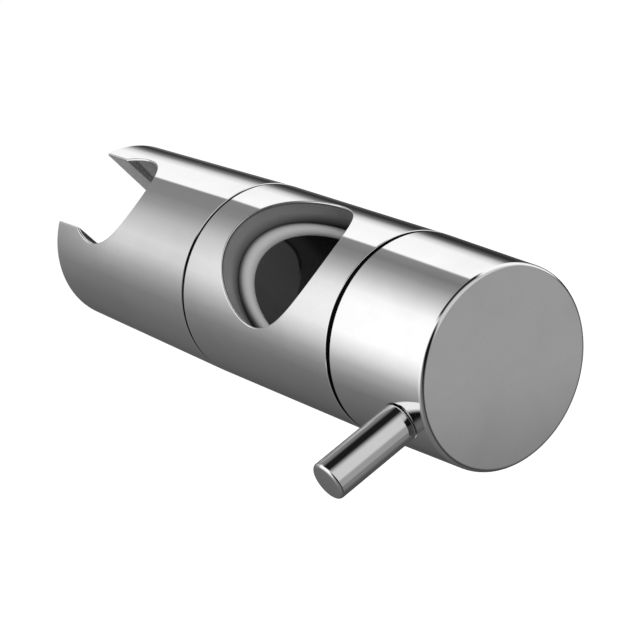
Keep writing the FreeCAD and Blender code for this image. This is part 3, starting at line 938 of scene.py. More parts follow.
@dataclass
class Shell:
    """Collects the grids of one closed piece, with the true direction of its skin at every corner."""

    finish: Finish = Finish.CHROME
    steps: int = 160
    round_steps: int = 8
    grids: list[tuple[Array, Array, Finish]] = field(default_factory=list)

    @property
    def half_turn(self) -> Array:
        """Angles from the top round the +Y side to the bottom, in radians."""
        return np.linspace(math.pi / 2, -math.pi / 2, self.steps // 2 + 1)

    def add(self, points: Array, normals: Array) -> None:
        """Keeps one grid, in the finish that is set."""
        self.grids.append((points, normals, self.finish))

    def add_flattened(self, surface: Surface, flat: Array) -> None:
        """Keeps a grid that lies on a surface, given in the surface's own coordinates."""
        points = surface.raised(flat)
        self.add(points, surface.normal(points))

    def span(self, surface: Surface, first: Array, last: Array, rows: int = 1) -> None:
        """Fills a surface between two lines of as many points.

        Args:
            surface: the surface that both lines lie on.
            first: the first line.
            last: the last line.
            rows: how many rows of faces lie between them.
        """
        share = np.linspace(0.0, 1.0, rows + 1)[:, None, None]
        flat = surface.flattened(first) * (1.0 - share) + surface.flattened(last) * share
        self.add_flattened(surface, flat)

    def patch(self, surface: Surface, first: Array, last: Array, left: Array, right: Array) -> None:
        """Fills a surface inside four lines.

        Args:
            surface: the surface that they lie on.
            first: from left's start to right's start.
            last: from left's end to right's end.
            left: from first's start to last's start.
            right: from first's end to last's end.
        """
        first, last, left, right = map(surface.flattened, (first, last, left, right))
        down = np.linspace(0.0, 1.0, len(left))[:, None, None]
        over = np.linspace(0.0, 1.0, len(first))[None, :, None]
        rows = first[None] * (1.0 - down) + last[None] * down
        columns = left[:, None] * (1.0 - over) + right[:, None] * over
        corners = ((first[0] * (1.0 - over) + first[-1] * over) * (1.0 - down)
                   + (last[0] * (1.0 - over) + last[-1] * over) * down)
        self.add_flattened(surface, rows + columns - corners)

    def edge(self, round_edge: Round) -> None:
        """Fills a rounded edge.

        Args:
            round_edge: the edge.
        """
        share = np.linspace(0.0, 1.0, self.round_steps + 1)[:, None, None]
        normals = turned_between(round_edge.first[None], round_edge.second[None], share)
        self.add(round_edge.centres + round_edge.radius * normals, normals)

    def corner(self, centre: Array, radius: float, surfaces: list[Surface]) -> None:
        """Fills the ball's patch where three rounds meet.

        Args:
            centre: the ball's centre.
            radius: its radius.
            surfaces: the three surfaces that it touches.
        """
        first, second, third = (surface.normal(centre) for surface in surfaces)
        down = np.linspace(0.0, 1.0, self.round_steps + 1)[:, None, None]
        over = np.linspace(0.0, 1.0, self.round_steps + 1)[None, :, None]
        near = turned_between(first, second, down)
        far = turned_between(first, third, down)
        normals = turned_between(near, far, over)
        self.add(centre + radius * normals, normals)

    def turn(self, corners: list[tuple[float, ...]], others: dict[int, Finish] | None = None) -> None:
        """Turns an outline about the bracket's axis. The metal lies to the right of the way it runs.

        Args:
            corners: each corner's x and radius, and the radius of its round if it has one.
            others: the finish of the run to a corner, by the corner's number, where it isn't the one set.
        """
        usual = self.finish
        angles = self.half_turn
        places = [np.array(corner[:2], float) for corner in corners]
        rounds = [corner[2] if len(corner) > 2 else 0.0 for corner in corners]
        start = places[0]
        for index in range(1, len(places)):
            here, size = places[index], rounds[index]
            self.finish = (others or {}).get(index, usual)
            along = (here - places[index - 1]) / np.linalg.norm(here - places[index - 1])
            if size:
                onward = (places[index + 1] - here) / np.linalg.norm(places[index + 1] - here)
                bend = math.acos(np.clip(along @ onward, -1.0, 1.0))
                back = size * math.tan(bend / 2)
                stop = here - along * back
                self._strip(np.array([start, stop]), np.array([_left(along)] * 2), angles)
                share = np.linspace(0.0, 1.0, self.round_steps + 1)[:, None]
                normals = turned_between(_left(along)[None], _left(onward)[None], share)
                self._strip(stop - _left(along) * size + normals * size, normals, angles)
                start = here + onward * back
            else:
                self._strip(np.array([start, here]), np.array([_left(along)] * 2), angles)
                start = here
        self.finish = usual

    def _strip(self, line: Array, normals: Array, angles: Array) -> None:
        """Turns one line of the outline.

        Args:
            line: the x and radius of its points.
            normals: the skin's direction at each, in the same plane.
            angles: the angles of the turn, in radians.
        """
        cosine, sine = np.cos(angles)[None], np.sin(angles)[None]
        x, out = line[:, :1], line[:, 1:]
        ahead, outward = normals[:, :1], normals[:, 1:]
        points = np.stack([x + 0.0 * cosine, out * cosine, out * sine], axis=-1)
        self.add(points, np.stack([ahead + 0.0 * cosine, outward * cosine, outward * sine], axis=-1))

    def mirror(self) -> None:
        """Copies every grid to the -Y side."""
        flip = np.array([1.0, -1.0, 1.0])
        self.grids += [(points * flip, normals * flip, finish) for points, normals, finish in self.grids]

    def build(self, name: str, finishes: Finishes, turn: Matrix = Matrix.Identity(3)) -> bpy.types.Object:
        """Makes the piece and dresses it.

        Args:
            name: its name.
            finishes: the materials.
            turn: how the finished mesh is turned about the origin.

        Returns:
            The object, at the origin with its place in its mesh.
        """
        used = list(dict.fromkeys(finish for *_, finish in self.grids))
        faces, corner_normals, points, slots, start = [], [], [], [], 0
        for grid, normals, finish in self.grids:
            rows, columns = grid.shape[:2]
            number = np.arange(rows * columns).reshape(rows, columns)
            quads = np.stack([number[:-1, :-1], number[1:, :-1], number[1:, 1:], number[:-1, 1:]], axis=-1)
            quads = quads.reshape(-1, 4)
            flat, flat_normals = grid.reshape(-1, 3), normals.reshape(-1, 3)
            across = np.cross(flat[quads[:, 2]] - flat[quads[:, 0]], flat[quads[:, 3]] - flat[quads[:, 1]])
            if (across * flat_normals[quads].sum(1)).sum() < 0:
                quads = quads[:, ::-1]
            faces.append(quads + start)
            corner_normals.append(flat_normals)
            points.append(flat)
            slots.append(np.full(len(quads), used.index(finish)))
            start += len(flat)
        points, normals, quads = np.concatenate(points), np.concatenate(corner_normals), np.concatenate(faces)
        _, first, same = np.unique(np.round(points / MM).astype(np.int64), axis=0, return_index=True,
                                   return_inverse=True)
        merged = same.reshape(-1)[quads]
        keep = merged != np.roll(merged, 1, axis=1)
        sound = keep.sum(1) > 2
        merged, keep, quads = merged[sound], keep[sound], quads[sound]
        turned = np.array(turn)
        mesh = bpy.data.meshes.new(name)
        mesh.vertices.add(len(first))
        mesh.vertices.foreach_set("co", (points[first] @ turned.T * MM).ravel())
        mesh.loops.add(int(keep.sum()))
        mesh.loops.foreach_set("vertex_index", merged[keep])
        counts = keep.sum(1)
        mesh.polygons.add(len(counts))
        mesh.polygons.foreach_set("loop_start", np.concatenate([[0], np.cumsum(counts)[:-1]]))
        mesh.polygons.foreach_set("material_index", np.concatenate(slots)[sound].astype(np.int32))
        mesh.update(calc_edges=True)
        mesh.normals_split_custom_set(normals[quads[keep]] @ turned.T)
        piece = place(name, mesh)
        finishes.dress(piece, *used)
        return piece


def _left(along: Array) -> Array:
    """The direction to the left of a run in the outline's plane."""
    return np.array([-along[1], along[0]])


def place(name: str, mesh: bpy.types.Mesh) -> bpy.types.Object:
    """Puts a mesh in the scene.

    Args:
        name: the object's name.
        mesh: its mesh.

    Returns:
        The object.
    """
    piece = bpy.data.objects.new(name, mesh)
    bpy.context.scene.collection.objects.link(piece)
    return piece


def open_edges(mesh: bpy.types.Mesh) -> int:
    """How many edges don't join exactly two faces.

    Args:
        mesh: a closed mesh.

    Returns:
        Their number, which is 0 for a sound one.
    """
    loops = np.zeros(len(mesh.loops), np.int64)
    mesh.loops.foreach_get("edge_index", loops)
    return int((np.bincount(loops, minlength=len(mesh.edges)) != 2).sum())


def report(piece: bpy.types.Object) -> None:
    """Logs what a piece is made of.

    Args:
        piece: the piece.
    """
    mesh = piece.data
    mesh.calc_loop_triangles()
    log.info("%s: %d triangles, %d open edges", piece.name, len(mesh.loop_triangles), open_edges(mesh))


# Pieces turned by Geometry Nodes


@dataclass
class Lathe:
    """Geometry Nodes trees for pieces whose whole shape is an outline turned about an axis."""

    sides: int = 96
    round_steps: int = 8
    edge_steps: int = 3
    sharp_from: float = 25.0
    inset: float = 1.0
    merge: float = 0.001

    def __post_init__(self) -> None:
        """Builds the trees, the two outlines on the one that turns them."""
        self.turning = self._build_turning()
        self.rod = self._build_rod()
        self.ring = self._build_ring()

    def _build_turning(self) -> GeometryTree:
        """The tree that turns an outline about Z, with sharp edges where the outline bends.

        Returns:
            The tree.
        """
        tree = GeometryTree("Turned about Z", {"Outline": "NodeSocketGeometry", "Sides": "NodeSocketInt",
                                               "Material": "NodeSocketMaterial"})
        inset = self.inset * MM
        ring = tree.apply("GeometryNodeCurvePrimitiveCircle", Resolution=tree.inputs["Sides"], Radius=inset)
        ring = tree.apply("GeometryNodeSetCurveNormal", {"mode": "Z_UP"}, Curve=ring)
        outline = tree.apply("GeometryNodeSetPosition", Geometry=tree.inputs["Outline"], Offset=(-inset, 0.0, 0.0))
        skin = tree.apply("GeometryNodeCurveToMesh", Curve=ring, Profile_Curve=outline)
        skin = tree.apply("GeometryNodeMergeByDistance", Geometry=skin, Distance=self.merge * MM)
        skin = tree.apply("GeometryNodeSetShadeSmooth", Geometry=skin)
        bend = tree.maths("GREATER_THAN", tree.add("GeometryNodeInputMeshEdgeAngle").outputs[0],
                          math.radians(self.sharp_from))
        skin = tree.apply("GeometryNodeSetShadeSmooth", {"domain": "EDGE"}, Geometry=skin, Selection=bend,
                          Shade_Smooth=False)
        skin = tree.apply("GeometryNodeRealizeInstances", Geometry=skin)
        skin = tree.apply("GeometryNodeSetMaterial", Geometry=skin, Material=tree.inputs["Material"])
        tree.feed(tree.outputs["Geometry"], skin)
        return tree

    def _outlined(self, name: str, sizes: tuple[str, ...]) -> GeometryTree:
        """Starts a tree that has these sizes, and the number of sides and the material, as its inputs."""
        kinds = {size: "NodeSocketFloat" for size in sizes}
        return GeometryTree(name, kinds | {"Sides": "NodeSocketInt", "Material": "NodeSocketMaterial"})

    def _close(self, tree: GeometryTree, corners: list[bpy.types.NodeSocket], rounds: object, steps: int,
               loop: bool) -> None:
        """Rounds an outline and turns it, which ends its tree.

        Args:
            tree: the tree.
            corners: the outline's corners.
            rounds: the radius of its rounds, one for all or one for each corner.
            steps: how many steps a round has.
            loop: whether the outline runs back to its first corner.
        """
        line = tree.apply("GeometryNodeMeshLine", Count=len(corners))
        line = tree.apply("GeometryNodeSetPosition", Geometry=line, Position=tree.by_index("VECTOR", corners))
        line = tree.apply("GeometryNodeMeshToCurve", Mesh=line)
        if loop:
            line = tree.apply("GeometryNodeSetSplineCyclic", Geometry=line, Cyclic=True)
        line = tree.apply("GeometryNodeFilletCurve", {"mode": "POLY"}, Curve=line, Count=steps, Radius=rounds)
        skin = tree.apply("GeometryNodeGroup", {"node_tree": self.turning.tree}, Outline=line,
                          Sides=tree.inputs["Sides"], Material=tree.inputs["Material"])
        skin = tree.apply("GeometryNodeRealizeInstances", Geometry=skin)
        skin = tree.apply("GeometryNodeSetMaterial", Geometry=skin, Material=tree.inputs["Material"])
        tree.feed(tree.outputs["Geometry"], skin)

    def _build_rod(self) -> GeometryTree:
        """The tree for a rod with rounded ends, on a thinner root and a stud.

        Returns:
            The tree.
        """
        sizes = ("Rod Radius", "Tip", "Tip Round", "Shoulder", "Shoulder Round", "Root Radius", "Seat",
                 "Stud Radius", "Stud End")
        tree = self._outlined("Turned rod", sizes)
        rod, tip, tip_round, shoulder, shoulder_round, root, seat, stud, end = (tree.inputs[size] for size in sizes)
        corners = [tree.at(0.0, tip), tree.at(rod, tip), tree.at(rod, shoulder), tree.at(root, shoulder),
                   tree.at(root, seat), tree.at(stud, seat), tree.at(stud, end), tree.at(0.0, end)]
        rounds = tree.by_index("FLOAT", [0.0, tip_round, shoulder_round, 0.0, 0.0, 0.0, 0.0, 0.0])
        self._close(tree, corners, rounds, self.round_steps, loop=False)
        return tree

    def _build_ring(self) -> GeometryTree:
        """The tree for a flat ring with softened edges.

        Returns:
            The tree.
        """
        sizes = ("Inner Radius", "Outer Radius", "Start", "End", "Edge Round")
        tree = self._outlined("Turned ring", sizes)
        inner, outer, start, end, edge = (tree.inputs[size] for size in sizes)
        corners = [tree.at(inner, end), tree.at(outer, end), tree.at(outer, start), tree.at(inner, start)]
        self._close(tree, corners, edge, self.edge_steps, loop=True)
        return tree


# Pieces


@dataclass
class RailBody:
    """The chromed body that the rail passes through, and the light bush in it."""

    radius: float = 22.0
    start: float = -25.8
    end: float = 26.0
    joint_round: float = 0.15
    end_round: float = 0.2
    cavity: float = 16.4
    cavity_floor: float = -21.05
    stud_hole: float = 4.05
    opening: float = 16.1
    opening_round: float = 0.25
    bush_outer: float = 16.35
    bush_inner: float = 14.0
    bush_start: float = -21.0
    bush_end: float = 21.35
    bush_hole: float = 12.95
    lip_round: float = 2.15
    side_lip_round: float = 1.15
    lip_power: int = 4
    lip_steps: int = 16
    bore_rows: int = 4

    def _mouth(self, skin: Wall, hole: Wall, size: Array | float, count: int) -> Round:
        """The round between an outer wall and a hole about the rail's axis, on the +Y side at the top.

        Args:
            skin: the outer wall.
            hole: the hole's wall.
            size: the radius of the round, one for all or one for each step.
            count: how many steps it has.

        Returns:
            The round.
        """
        angle = np.linspace(0.0, math.pi, count)
        size = np.broadcast_to(np.asarray(size, float), angle.shape)
        out = hole.radius + size
        height = np.sqrt((skin.radius - size) ** 2 - (out * np.sin(angle)) ** 2)
        centres = np.stack([out * np.cos(angle), out * np.sin(angle), height], axis=-1)
        return Round.between(skin, hole, centres, size)

    def _bored(self, shell: Shell, skin: Wall, hole: Wall, inside: Wall, size: Array | float,
               bored: Finish) -> None:
        """Adds a tube's outer and inner walls where the hole crosses them, with the hole's own wall.

        Args:
            shell: the shell that they go into.
            skin: the outer wall.
            hole: the hole's wall.
            inside: the inner wall.
            size: the radius of the round at the hole's mouth, one for all or one for each step.
            bored: the finish of the hole's wall and the inner wall.
        """
        usual = shell.finish
        count = shell.steps // 2 + 1
        mouth = self._mouth(skin, hole, size, count)
        angle = np.linspace(0.0, math.pi, count)
        inner = hole.raised(np.stack([np.sqrt(inside.radius ** 2 - (hole.radius * np.sin(angle)) ** 2), angle], -1))
        down = np.array([1.0, 1.0, -1.0])
        rows = shell.steps // 2
        shell.edge(mouth)
        shell.edge(Round(mouth.centres * down, mouth.radius, mouth.first * down, mouth.second * down))
        shell.span(skin, mouth.on_first, mouth.on_first * down, rows)
        shell.finish = bored
        shell.span(hole, mouth.on_second, inner, self.bore_rows)
        shell.span(hole, mouth.on_second * down, inner * down, self.bore_rows)
        shell.span(inside, inner, inner * down, rows)
        shell.finish = usual

    def build_body(self, finishes: Finishes) -> bpy.types.Object:
        """Makes the chromed body.

        Args:
            finishes: the materials.

        Returns:
            The piece.
        """
        shell = Shell()
        skin = Wall(Axis.BRACKET, self.radius)
        hole = Wall(Axis.RAIL, self.opening, outside=False)
        inside = Wall(Axis.BRACKET, self.cavity, outside=False)
        self._bored(shell, skin, hole, inside, self.opening_round, Finish.BORED_CHROME)
        mouth = self.opening + self.opening_round
        shell.turn([(mouth, self.radius), (self.end, self.radius, self.end_round), (self.end, self.cavity),
                    (self.opening, self.cavity)], {2: Finish.JOINT_FACE, 3: Finish.BORED_CHROME})
        shell.turn([(-self.opening, self.cavity), (self.cavity_floor, self.cavity),
                    (self.cavity_floor, self.stud_hole), (self.start, self.stud_hole),
                    (self.start, self.radius, self.joint_round), (-mouth, self.radius)],
                   {1: Finish.BORED_CHROME, 2: Finish.BORED_CHROME, 3: Finish.BORED_CHROME, 4: Finish.JOINT_FACE})
        shell.mirror()
        piece = shell.build("chromed_body", finishes)
        return stand_for(piece, "rail_body", "body")

    def build_bush(self, finishes: Finishes) -> bpy.types.Object:
        """Makes the light bush with its broad rounded lips.

        Args:
            finishes: the materials.

        Returns:
            The piece.
        """
        shell = Shell(Finish.GREY_PLASTIC, round_steps=self.lip_steps)
        skin = Wall(Axis.BRACKET, self.bush_outer)
        hole = Wall(Axis.RAIL, self.bush_hole, outside=False)
        inside = Wall(Axis.BRACKET, self.bush_inner, outside=False)
        angle = np.linspace(0.0, math.pi, shell.steps // 2 + 1)
        size = self.side_lip_round + (self.lip_round - self.side_lip_round) * np.cos(angle) ** self.lip_power
        self._bored(shell, skin, hole, inside, size, shell.finish)
        mouth = self.bush_hole + self.lip_round
        shell.turn([(mouth, self.bush_outer), (self.bush_end, self.bush_outer), (self.bush_end, self.bush_inner),
                    (self.bush_hole, self.bush_inner)])
        shell.turn([(-self.bush_hole, self.bush_inner), (self.bush_start, self.bush_inner),
                    (self.bush_start, self.bush_outer), (-mouth, self.bush_outer)])
        shell.mirror()
        piece = shell.build("grey_bush", finishes)
        return stand_for(piece, "rail_bush", "body")


@dataclass
class HandsetHolder:
    """The tapered holder, with the conical seat bored up through it and open to its free end."""

    start: float = -26.55
    angle: float = 2.1
    radius: float = 22.0
    joint_round: float = 0.12
    end: float = -81.05
    end_radius: float = 21.05
    inside: float = 18.4
    hollow_end: float = -46.95
    hub: float = 8.5
    stud_bore: float = 4.05
    stud_bore_end: float = -40.95
    collar: float = 6.05
    collar_end: float = -28.45
    seat_x: float = -65.85
    seat_top: float = 11.85
    seat_bottom: float = 10.1
    slot_half: float = 9.7
    edge: float = 0.36
    guess_depth: tuple[float, float] = (4.0, 2.0)

    def _walls(self) -> tuple[Wall, Wall, Flat, Flat]:
        """The walls that meet in the holder's rounded edges.

        Returns:
            The outer cone, the seat's cone, the slot's +Y face and the free end.
        """
        cone_start = self.start - self.joint_round
        skin = Wall(Axis.BRACKET, self.radius, (self.radius - self.end_radius) / (cone_start - self.end), cone_start)
        middle = (self.seat_top + self.seat_bottom) / 2
        lean = (self.seat_top - self.seat_bottom) / (2 * self.radius)
        seat = Wall(Axis.RAIL, middle, lean, self.seat_x, outside=False)
        return skin, seat, Flat(1, self.slot_half, -1), Flat(0, self.end, -1)

    def _side(self, shell: Shell, side: int) -> tuple[Round, Round, Array, Array]:
        """The rounds along the seat and along the slot at the top or bottom, and their corners' centres.

        Args:
            shell: the shell, for its steps.
            side: 1 for the top, -1 for the bottom.

        Returns:
            The seat's round, the slot's round, the inner corner's centre and the outer corner's centre.
        """
        skin, seat, slot, end = self._walls()
        out = self.seat_top if side > 0 else self.seat_bottom
        at_corner, at_seat = (side * (self.radius - depth) for depth in self.guess_depth)
        guess = np.array([self.seat_x - out / 2, self.slot_half + self.edge, at_corner])
        inner = ball_centres(self.edge, [skin, seat, slot], guess)
        guess = np.array([self.end + self.edge, self.slot_half + self.edge, at_corner])
        outer = ball_centres(self.edge, [skin, slot, end], guess)
        turn = np.linspace(0.0, math.atan2(inner[1], inner[0] - self.seat_x), shell.steps // 2 + 1)
        guess = np.stack([self.seat_x + (out + self.edge) * np.cos(turn), (out + self.edge) * np.sin(turn),
                          np.full_like(turn, at_seat)], axis=-1)
        sections = np.stack([-np.sin(turn), np.cos(turn), np.zeros_like(turn)], axis=-1)
        along_seat = ball_centres(self.edge, [skin, seat], guess, sections)
        x = np.linspace(inner[0], outer[0], shell.steps // 8 + 1)
        guess = np.stack([x, np.full_like(x, self.slot_half + self.edge), np.full_like(x, inner[2])], axis=-1)
        along_slot = ball_centres(self.edge, [skin, slot], guess, np.array([1.0, 0.0, 0.0]))
        return (Round.between(skin, seat, along_seat, self.edge), Round.between(skin, slot, along_slot, self.edge),
                inner, outer)

    def build(self, finishes: Finishes) -> bpy.types.Object:
        """Makes the holder.

        Args:
            finishes: the materials.

        Returns:
            The piece.
        """
        shell = Shell()
        skin, seat, slot, end = self._walls()
        rows = shell.steps // 2
        top_seat, top_slot, top_inner, top_outer = self._side(shell, 1)
        low_seat, low_slot, low_inner, low_outer = self._side(shell, -1)
        for edge in (top_seat, top_slot, low_seat, low_slot):
            shell.edge(edge)
        heights = np.linspace(top_inner[2], low_inner[2], rows + 1)
        guess = np.stack([np.linspace(top_inner[0], low_inner[0], rows + 1),
                          np.full(rows + 1, top_inner[1]), heights], axis=-1)
        sill = Round.between(seat, slot, ball_centres(self.edge, [seat, slot], guess, np.array([0.0, 0.0, 1.0])),
                             self.edge)
        guess = np.linspace(top_outer, low_outer, rows + 1)
        upright = Round.between(slot, end, guess, self.edge)
        around = np.linspace(math.atan2(top_outer[2], top_outer[1]), math.atan2(low_outer[2], low_outer[1]), rows + 1)
        out = math.hypot(top_outer[1], top_outer[2])
        guess = np.stack([np.full(rows + 1, top_outer[0]), out * np.cos(around), out * np.sin(around)], axis=-1)
        rim = Round.between(skin, end, guess, self.edge)
        for edge in (sill, upright, rim):
            shell.edge(edge)
        for centre in (top_inner, low_inner):
            shell.corner(centre, self.edge, [skin, seat, slot])
        for centre in (top_outer, low_outer):
            shell.corner(centre, self.edge, [skin, slot, end])
        waist = skin.raised(np.stack([np.linspace(top_seat.on_first[0, 0], low_seat.on_first[0, 0], rows + 1)
                                      - skin.place, shell.half_turn], axis=-1))
        top = np.concatenate([top_seat.on_first[:-1], top_slot.on_first])
        low = np.concatenate([low_seat.on_first[:-1], low_slot.on_first])
        shell.patch(skin, top, low, waist, rim.on_first)
        centre_line = np.linspace(top_seat.on_second[0], low_seat.on_second[0], rows + 1)
        shell.finish = Finish.SEAT_CHROME
        shell.patch(seat, top_seat.on_second, low_seat.on_second, centre_line, sill.on_first)
        shell.finish = Finish.SLOT_CHROME
        shell.patch(slot, top_slot.on_second, low_slot.on_second, sill.on_second, upright.on_first)
        shell.finish = Finish.CHROME
        shell.span(end, upright.on_second, rim.on_second, rows=2)
        joint = skin.raised(np.stack([np.zeros(rows + 1), shell.half_turn], axis=-1))
        shell.span(skin, joint, waist, rows=4)
        shell.turn([(self.start - self.joint_round, self.radius), (self.start, self.radius - self.joint_round)])
        shell.turn([(self.start, self.radius - self.joint_round), (self.start, self.inside),
                    (self.hollow_end, self.inside), (self.hollow_end, self.hub), (self.start, self.hub),
                    (self.start, self.collar), (self.collar_end, self.collar), (self.collar_end, self.stud_bore),
                    (self.stud_bore_end, self.stud_bore), (self.stud_bore_end, 0.0)],
                   {corner: Finish.JOINT_FACE for corner in range(1, 10)})
        shell.mirror()
        piece = shell.build("chromed_holder", finishes, Matrix.Rotation(math.radians(self.angle), 3, "X"))
        return stand_for(piece, "handset_holder", "holder")


@dataclass
class ClampKnob:
    """The chromed knob and the polished lever that stands out of it."""

    start: float = 27.3
    end: float = 56.05
    radius: float = 22.0
    end_radius: float = 21.45
    joint_round: float = 0.12
    rim_round: float = 1.05
    inside: float = 18.4
    hollow_end: float = 51.05
    hub: float = 9.0
    hub_start: float = 28.70
    bore: float = 5.05
    bore_end: float = 52.5
    lever_x: float = 47.45
    lever_angle: float = 18.1
    lever_radius: float = 4.22
    lever_tip: float = 41.9
    lever_tip_round: float = 0.8
    lever_shoulder: float = 21.35
    lever_shoulder_round: float = 0.5
    lever_root_radius: float = 3.7
    lever_seat: float = 20.2
    stud_radius: float = 2.5
    stud_end: float = 3.5
    fit: float = 0.05
    hole_round: float = 0.1
    hole_points: int = 33
    guess_depth: float = 1.0

    @property
    def turn(self) -> Matrix:
        """Turns what points up in the knob's own frame along the lever."""
        return Matrix.Rotation(math.radians(90.0 - self.lever_angle), 3, "X")

    def build_knob(self, finishes: Finishes) -> bpy.types.Object:
        """Makes the knob.

        Args:
            finishes: the materials.

        Returns:
            The piece.
        """
        shell = Shell()
        rows = shell.steps // 2
        cone_start = self.start + self.joint_round
        growth = (self.end_radius - self.radius) / (self.end - cone_start)
        skin = Wall(Axis.BRACKET, self.radius, growth, cone_start)
        hole = Wall(Axis.RAIL, self.lever_radius + self.fit, place=self.lever_x, outside=False)
        hole_floor = self.lever_seat - self.fit
        angle = np.linspace(0.0, math.pi, self.hole_points)
        out = hole.radius + self.hole_round
        guess = np.stack([self.lever_x + out * np.cos(angle), out * np.sin(angle),
                          np.full_like(angle, self.radius - self.guess_depth)], axis=-1)
        sections = np.stack([-np.sin(angle), np.cos(angle), np.zeros_like(angle)], axis=-1)
        mouth = Round.between(skin, hole, ball_centres(self.hole_round, [skin, hole], guess, sections),
                              self.hole_round)
        shell.edge(mouth)
        floor = hole.raised(np.stack([np.full_like(angle, hole_floor), angle], axis=-1))
        shell.span(hole, mouth.on_second, floor)
        middle = np.broadcast_to(np.array([self.lever_x, 0.0, hole_floor]), floor.shape)
        shell.span(Flat(2, hole_floor, 1), floor, middle)
        below = skin.flattened(mouth.on_first)
        below[:, 1] = -math.pi / 2
        shell.span(skin, mouth.on_first, skin.raised(below), rows)
        first, last = mouth.on_first[0, 0], mouth.on_first[-1, 0]
        shell.turn([(first, float(skin.radius + growth * (first - cone_start))),
                    (self.end, self.end_radius, self.rim_round), (self.end, 0.0)])
        shell.turn([(self.bore_end, 0.0), (self.bore_end, self.bore), (self.hub_start, self.bore),
                    (self.hub_start, self.hub), (self.hollow_end, self.hub), (self.hollow_end, self.inside),
                    (self.start, self.inside), (self.start, self.radius, self.joint_round),
                    (last, float(skin.radius + growth * (last - cone_start)))],
                   {corner: Finish.JOINT_FACE for corner in range(1, 8)})
        shell.mirror()
        piece = shell.build("chromed_knob", finishes, self.turn)
        return stand_for(piece, "clamp_knob", "knob")

    def build_lever(self, finishes: Finishes, lathe: Lathe) -> bpy.types.Object:
        """Makes the lever.

        Args:
            finishes: the materials.
            lathe: the trees for turned pieces.

        Returns:
            The piece.
        """
        mesh = lathe.rod.make("polished_lever", {
            "Rod Radius": self.lever_radius, "Tip": self.lever_tip, "Tip Round": self.lever_tip_round,
            "Shoulder": self.lever_shoulder, "Shoulder Round": self.lever_shoulder_round,
            "Root Radius": self.lever_root_radius, "Seat": self.lever_seat, "Stud Radius": self.stud_radius,
            "Stud End": self.stud_end, "Sides": lathe.sides, "Material": finishes.materials[Finish.CHROME]})
        mesh.transform(self.turn.to_4x4() @ Matrix.Translation((self.lever_x * MM, 0.0, 0.0)))
        return stand_for(place("polished_lever", mesh), "clamp_lever", "knob")


@dataclass
class JointRings:
    """The dark rings in the two joints, each with its outer radius and its two ends."""

    inner: float = 17.3
    edge_round: float = 0.1
    knob_ring: tuple[float, float, float] = (20.8, 26.0, 27.2)
    tilt_ring: tuple[float, float, float] = (21.6, -26.5, -25.8)

    def build(self, finishes: Finishes, lathe: Lathe) -> list[bpy.types.Object]:
        """Makes both rings.

        Args:
            finishes: the materials.
            lathe: the trees for turned pieces.

        Returns:
            The rings.
        """
        rings = []
        for name, node, (outer, start, end) in (("dark_knob_ring", "knob_washer", self.knob_ring),
                                                ("dark_tilt_ring", "tilt_washer", self.tilt_ring)):
            mesh = lathe.ring.make(name, {
                "Inner Radius": self.inner, "Outer Radius": outer, "Start": start, "End": end,
                "Edge Round": self.edge_round, "Sides": lathe.sides,
                "Material": finishes.materials[Finish.DARK_PLASTIC]})
            mesh.transform(Matrix.Rotation(math.radians(90.0), 4, "Y"))
            rings.append(stand_for(place(name, mesh), node, "body"))
        return rings


CAD_FINISHES = {
    "rail_cradle": Finish.CRADLE_PLASTIC,
    "bearing_plug": Finish.BRASS,
    "spindle_o_ring": Finish.RUBBER,
    "inner_thrust_washer": Finish.DARK_PLASTIC,
    "outer_thrust_washer": Finish.DARK_PLASTIC,
    "clamp_spindle": Finish.BRASS,
    "spindle_circlip": Finish.STEEL,
    "brake_shoe": Finish.DARK_PLASTIC,
    "shoe_pad": Finish.RUBBER,
    "shoe_nut": Finish.BRASS,
    "pivot_stud": Finish.STEEL,
    "stud_washer": Finish.STEEL,
    "disc_spring": Finish.STEEL,
    "lock_nut": Finish.STEEL,
}


# Studio


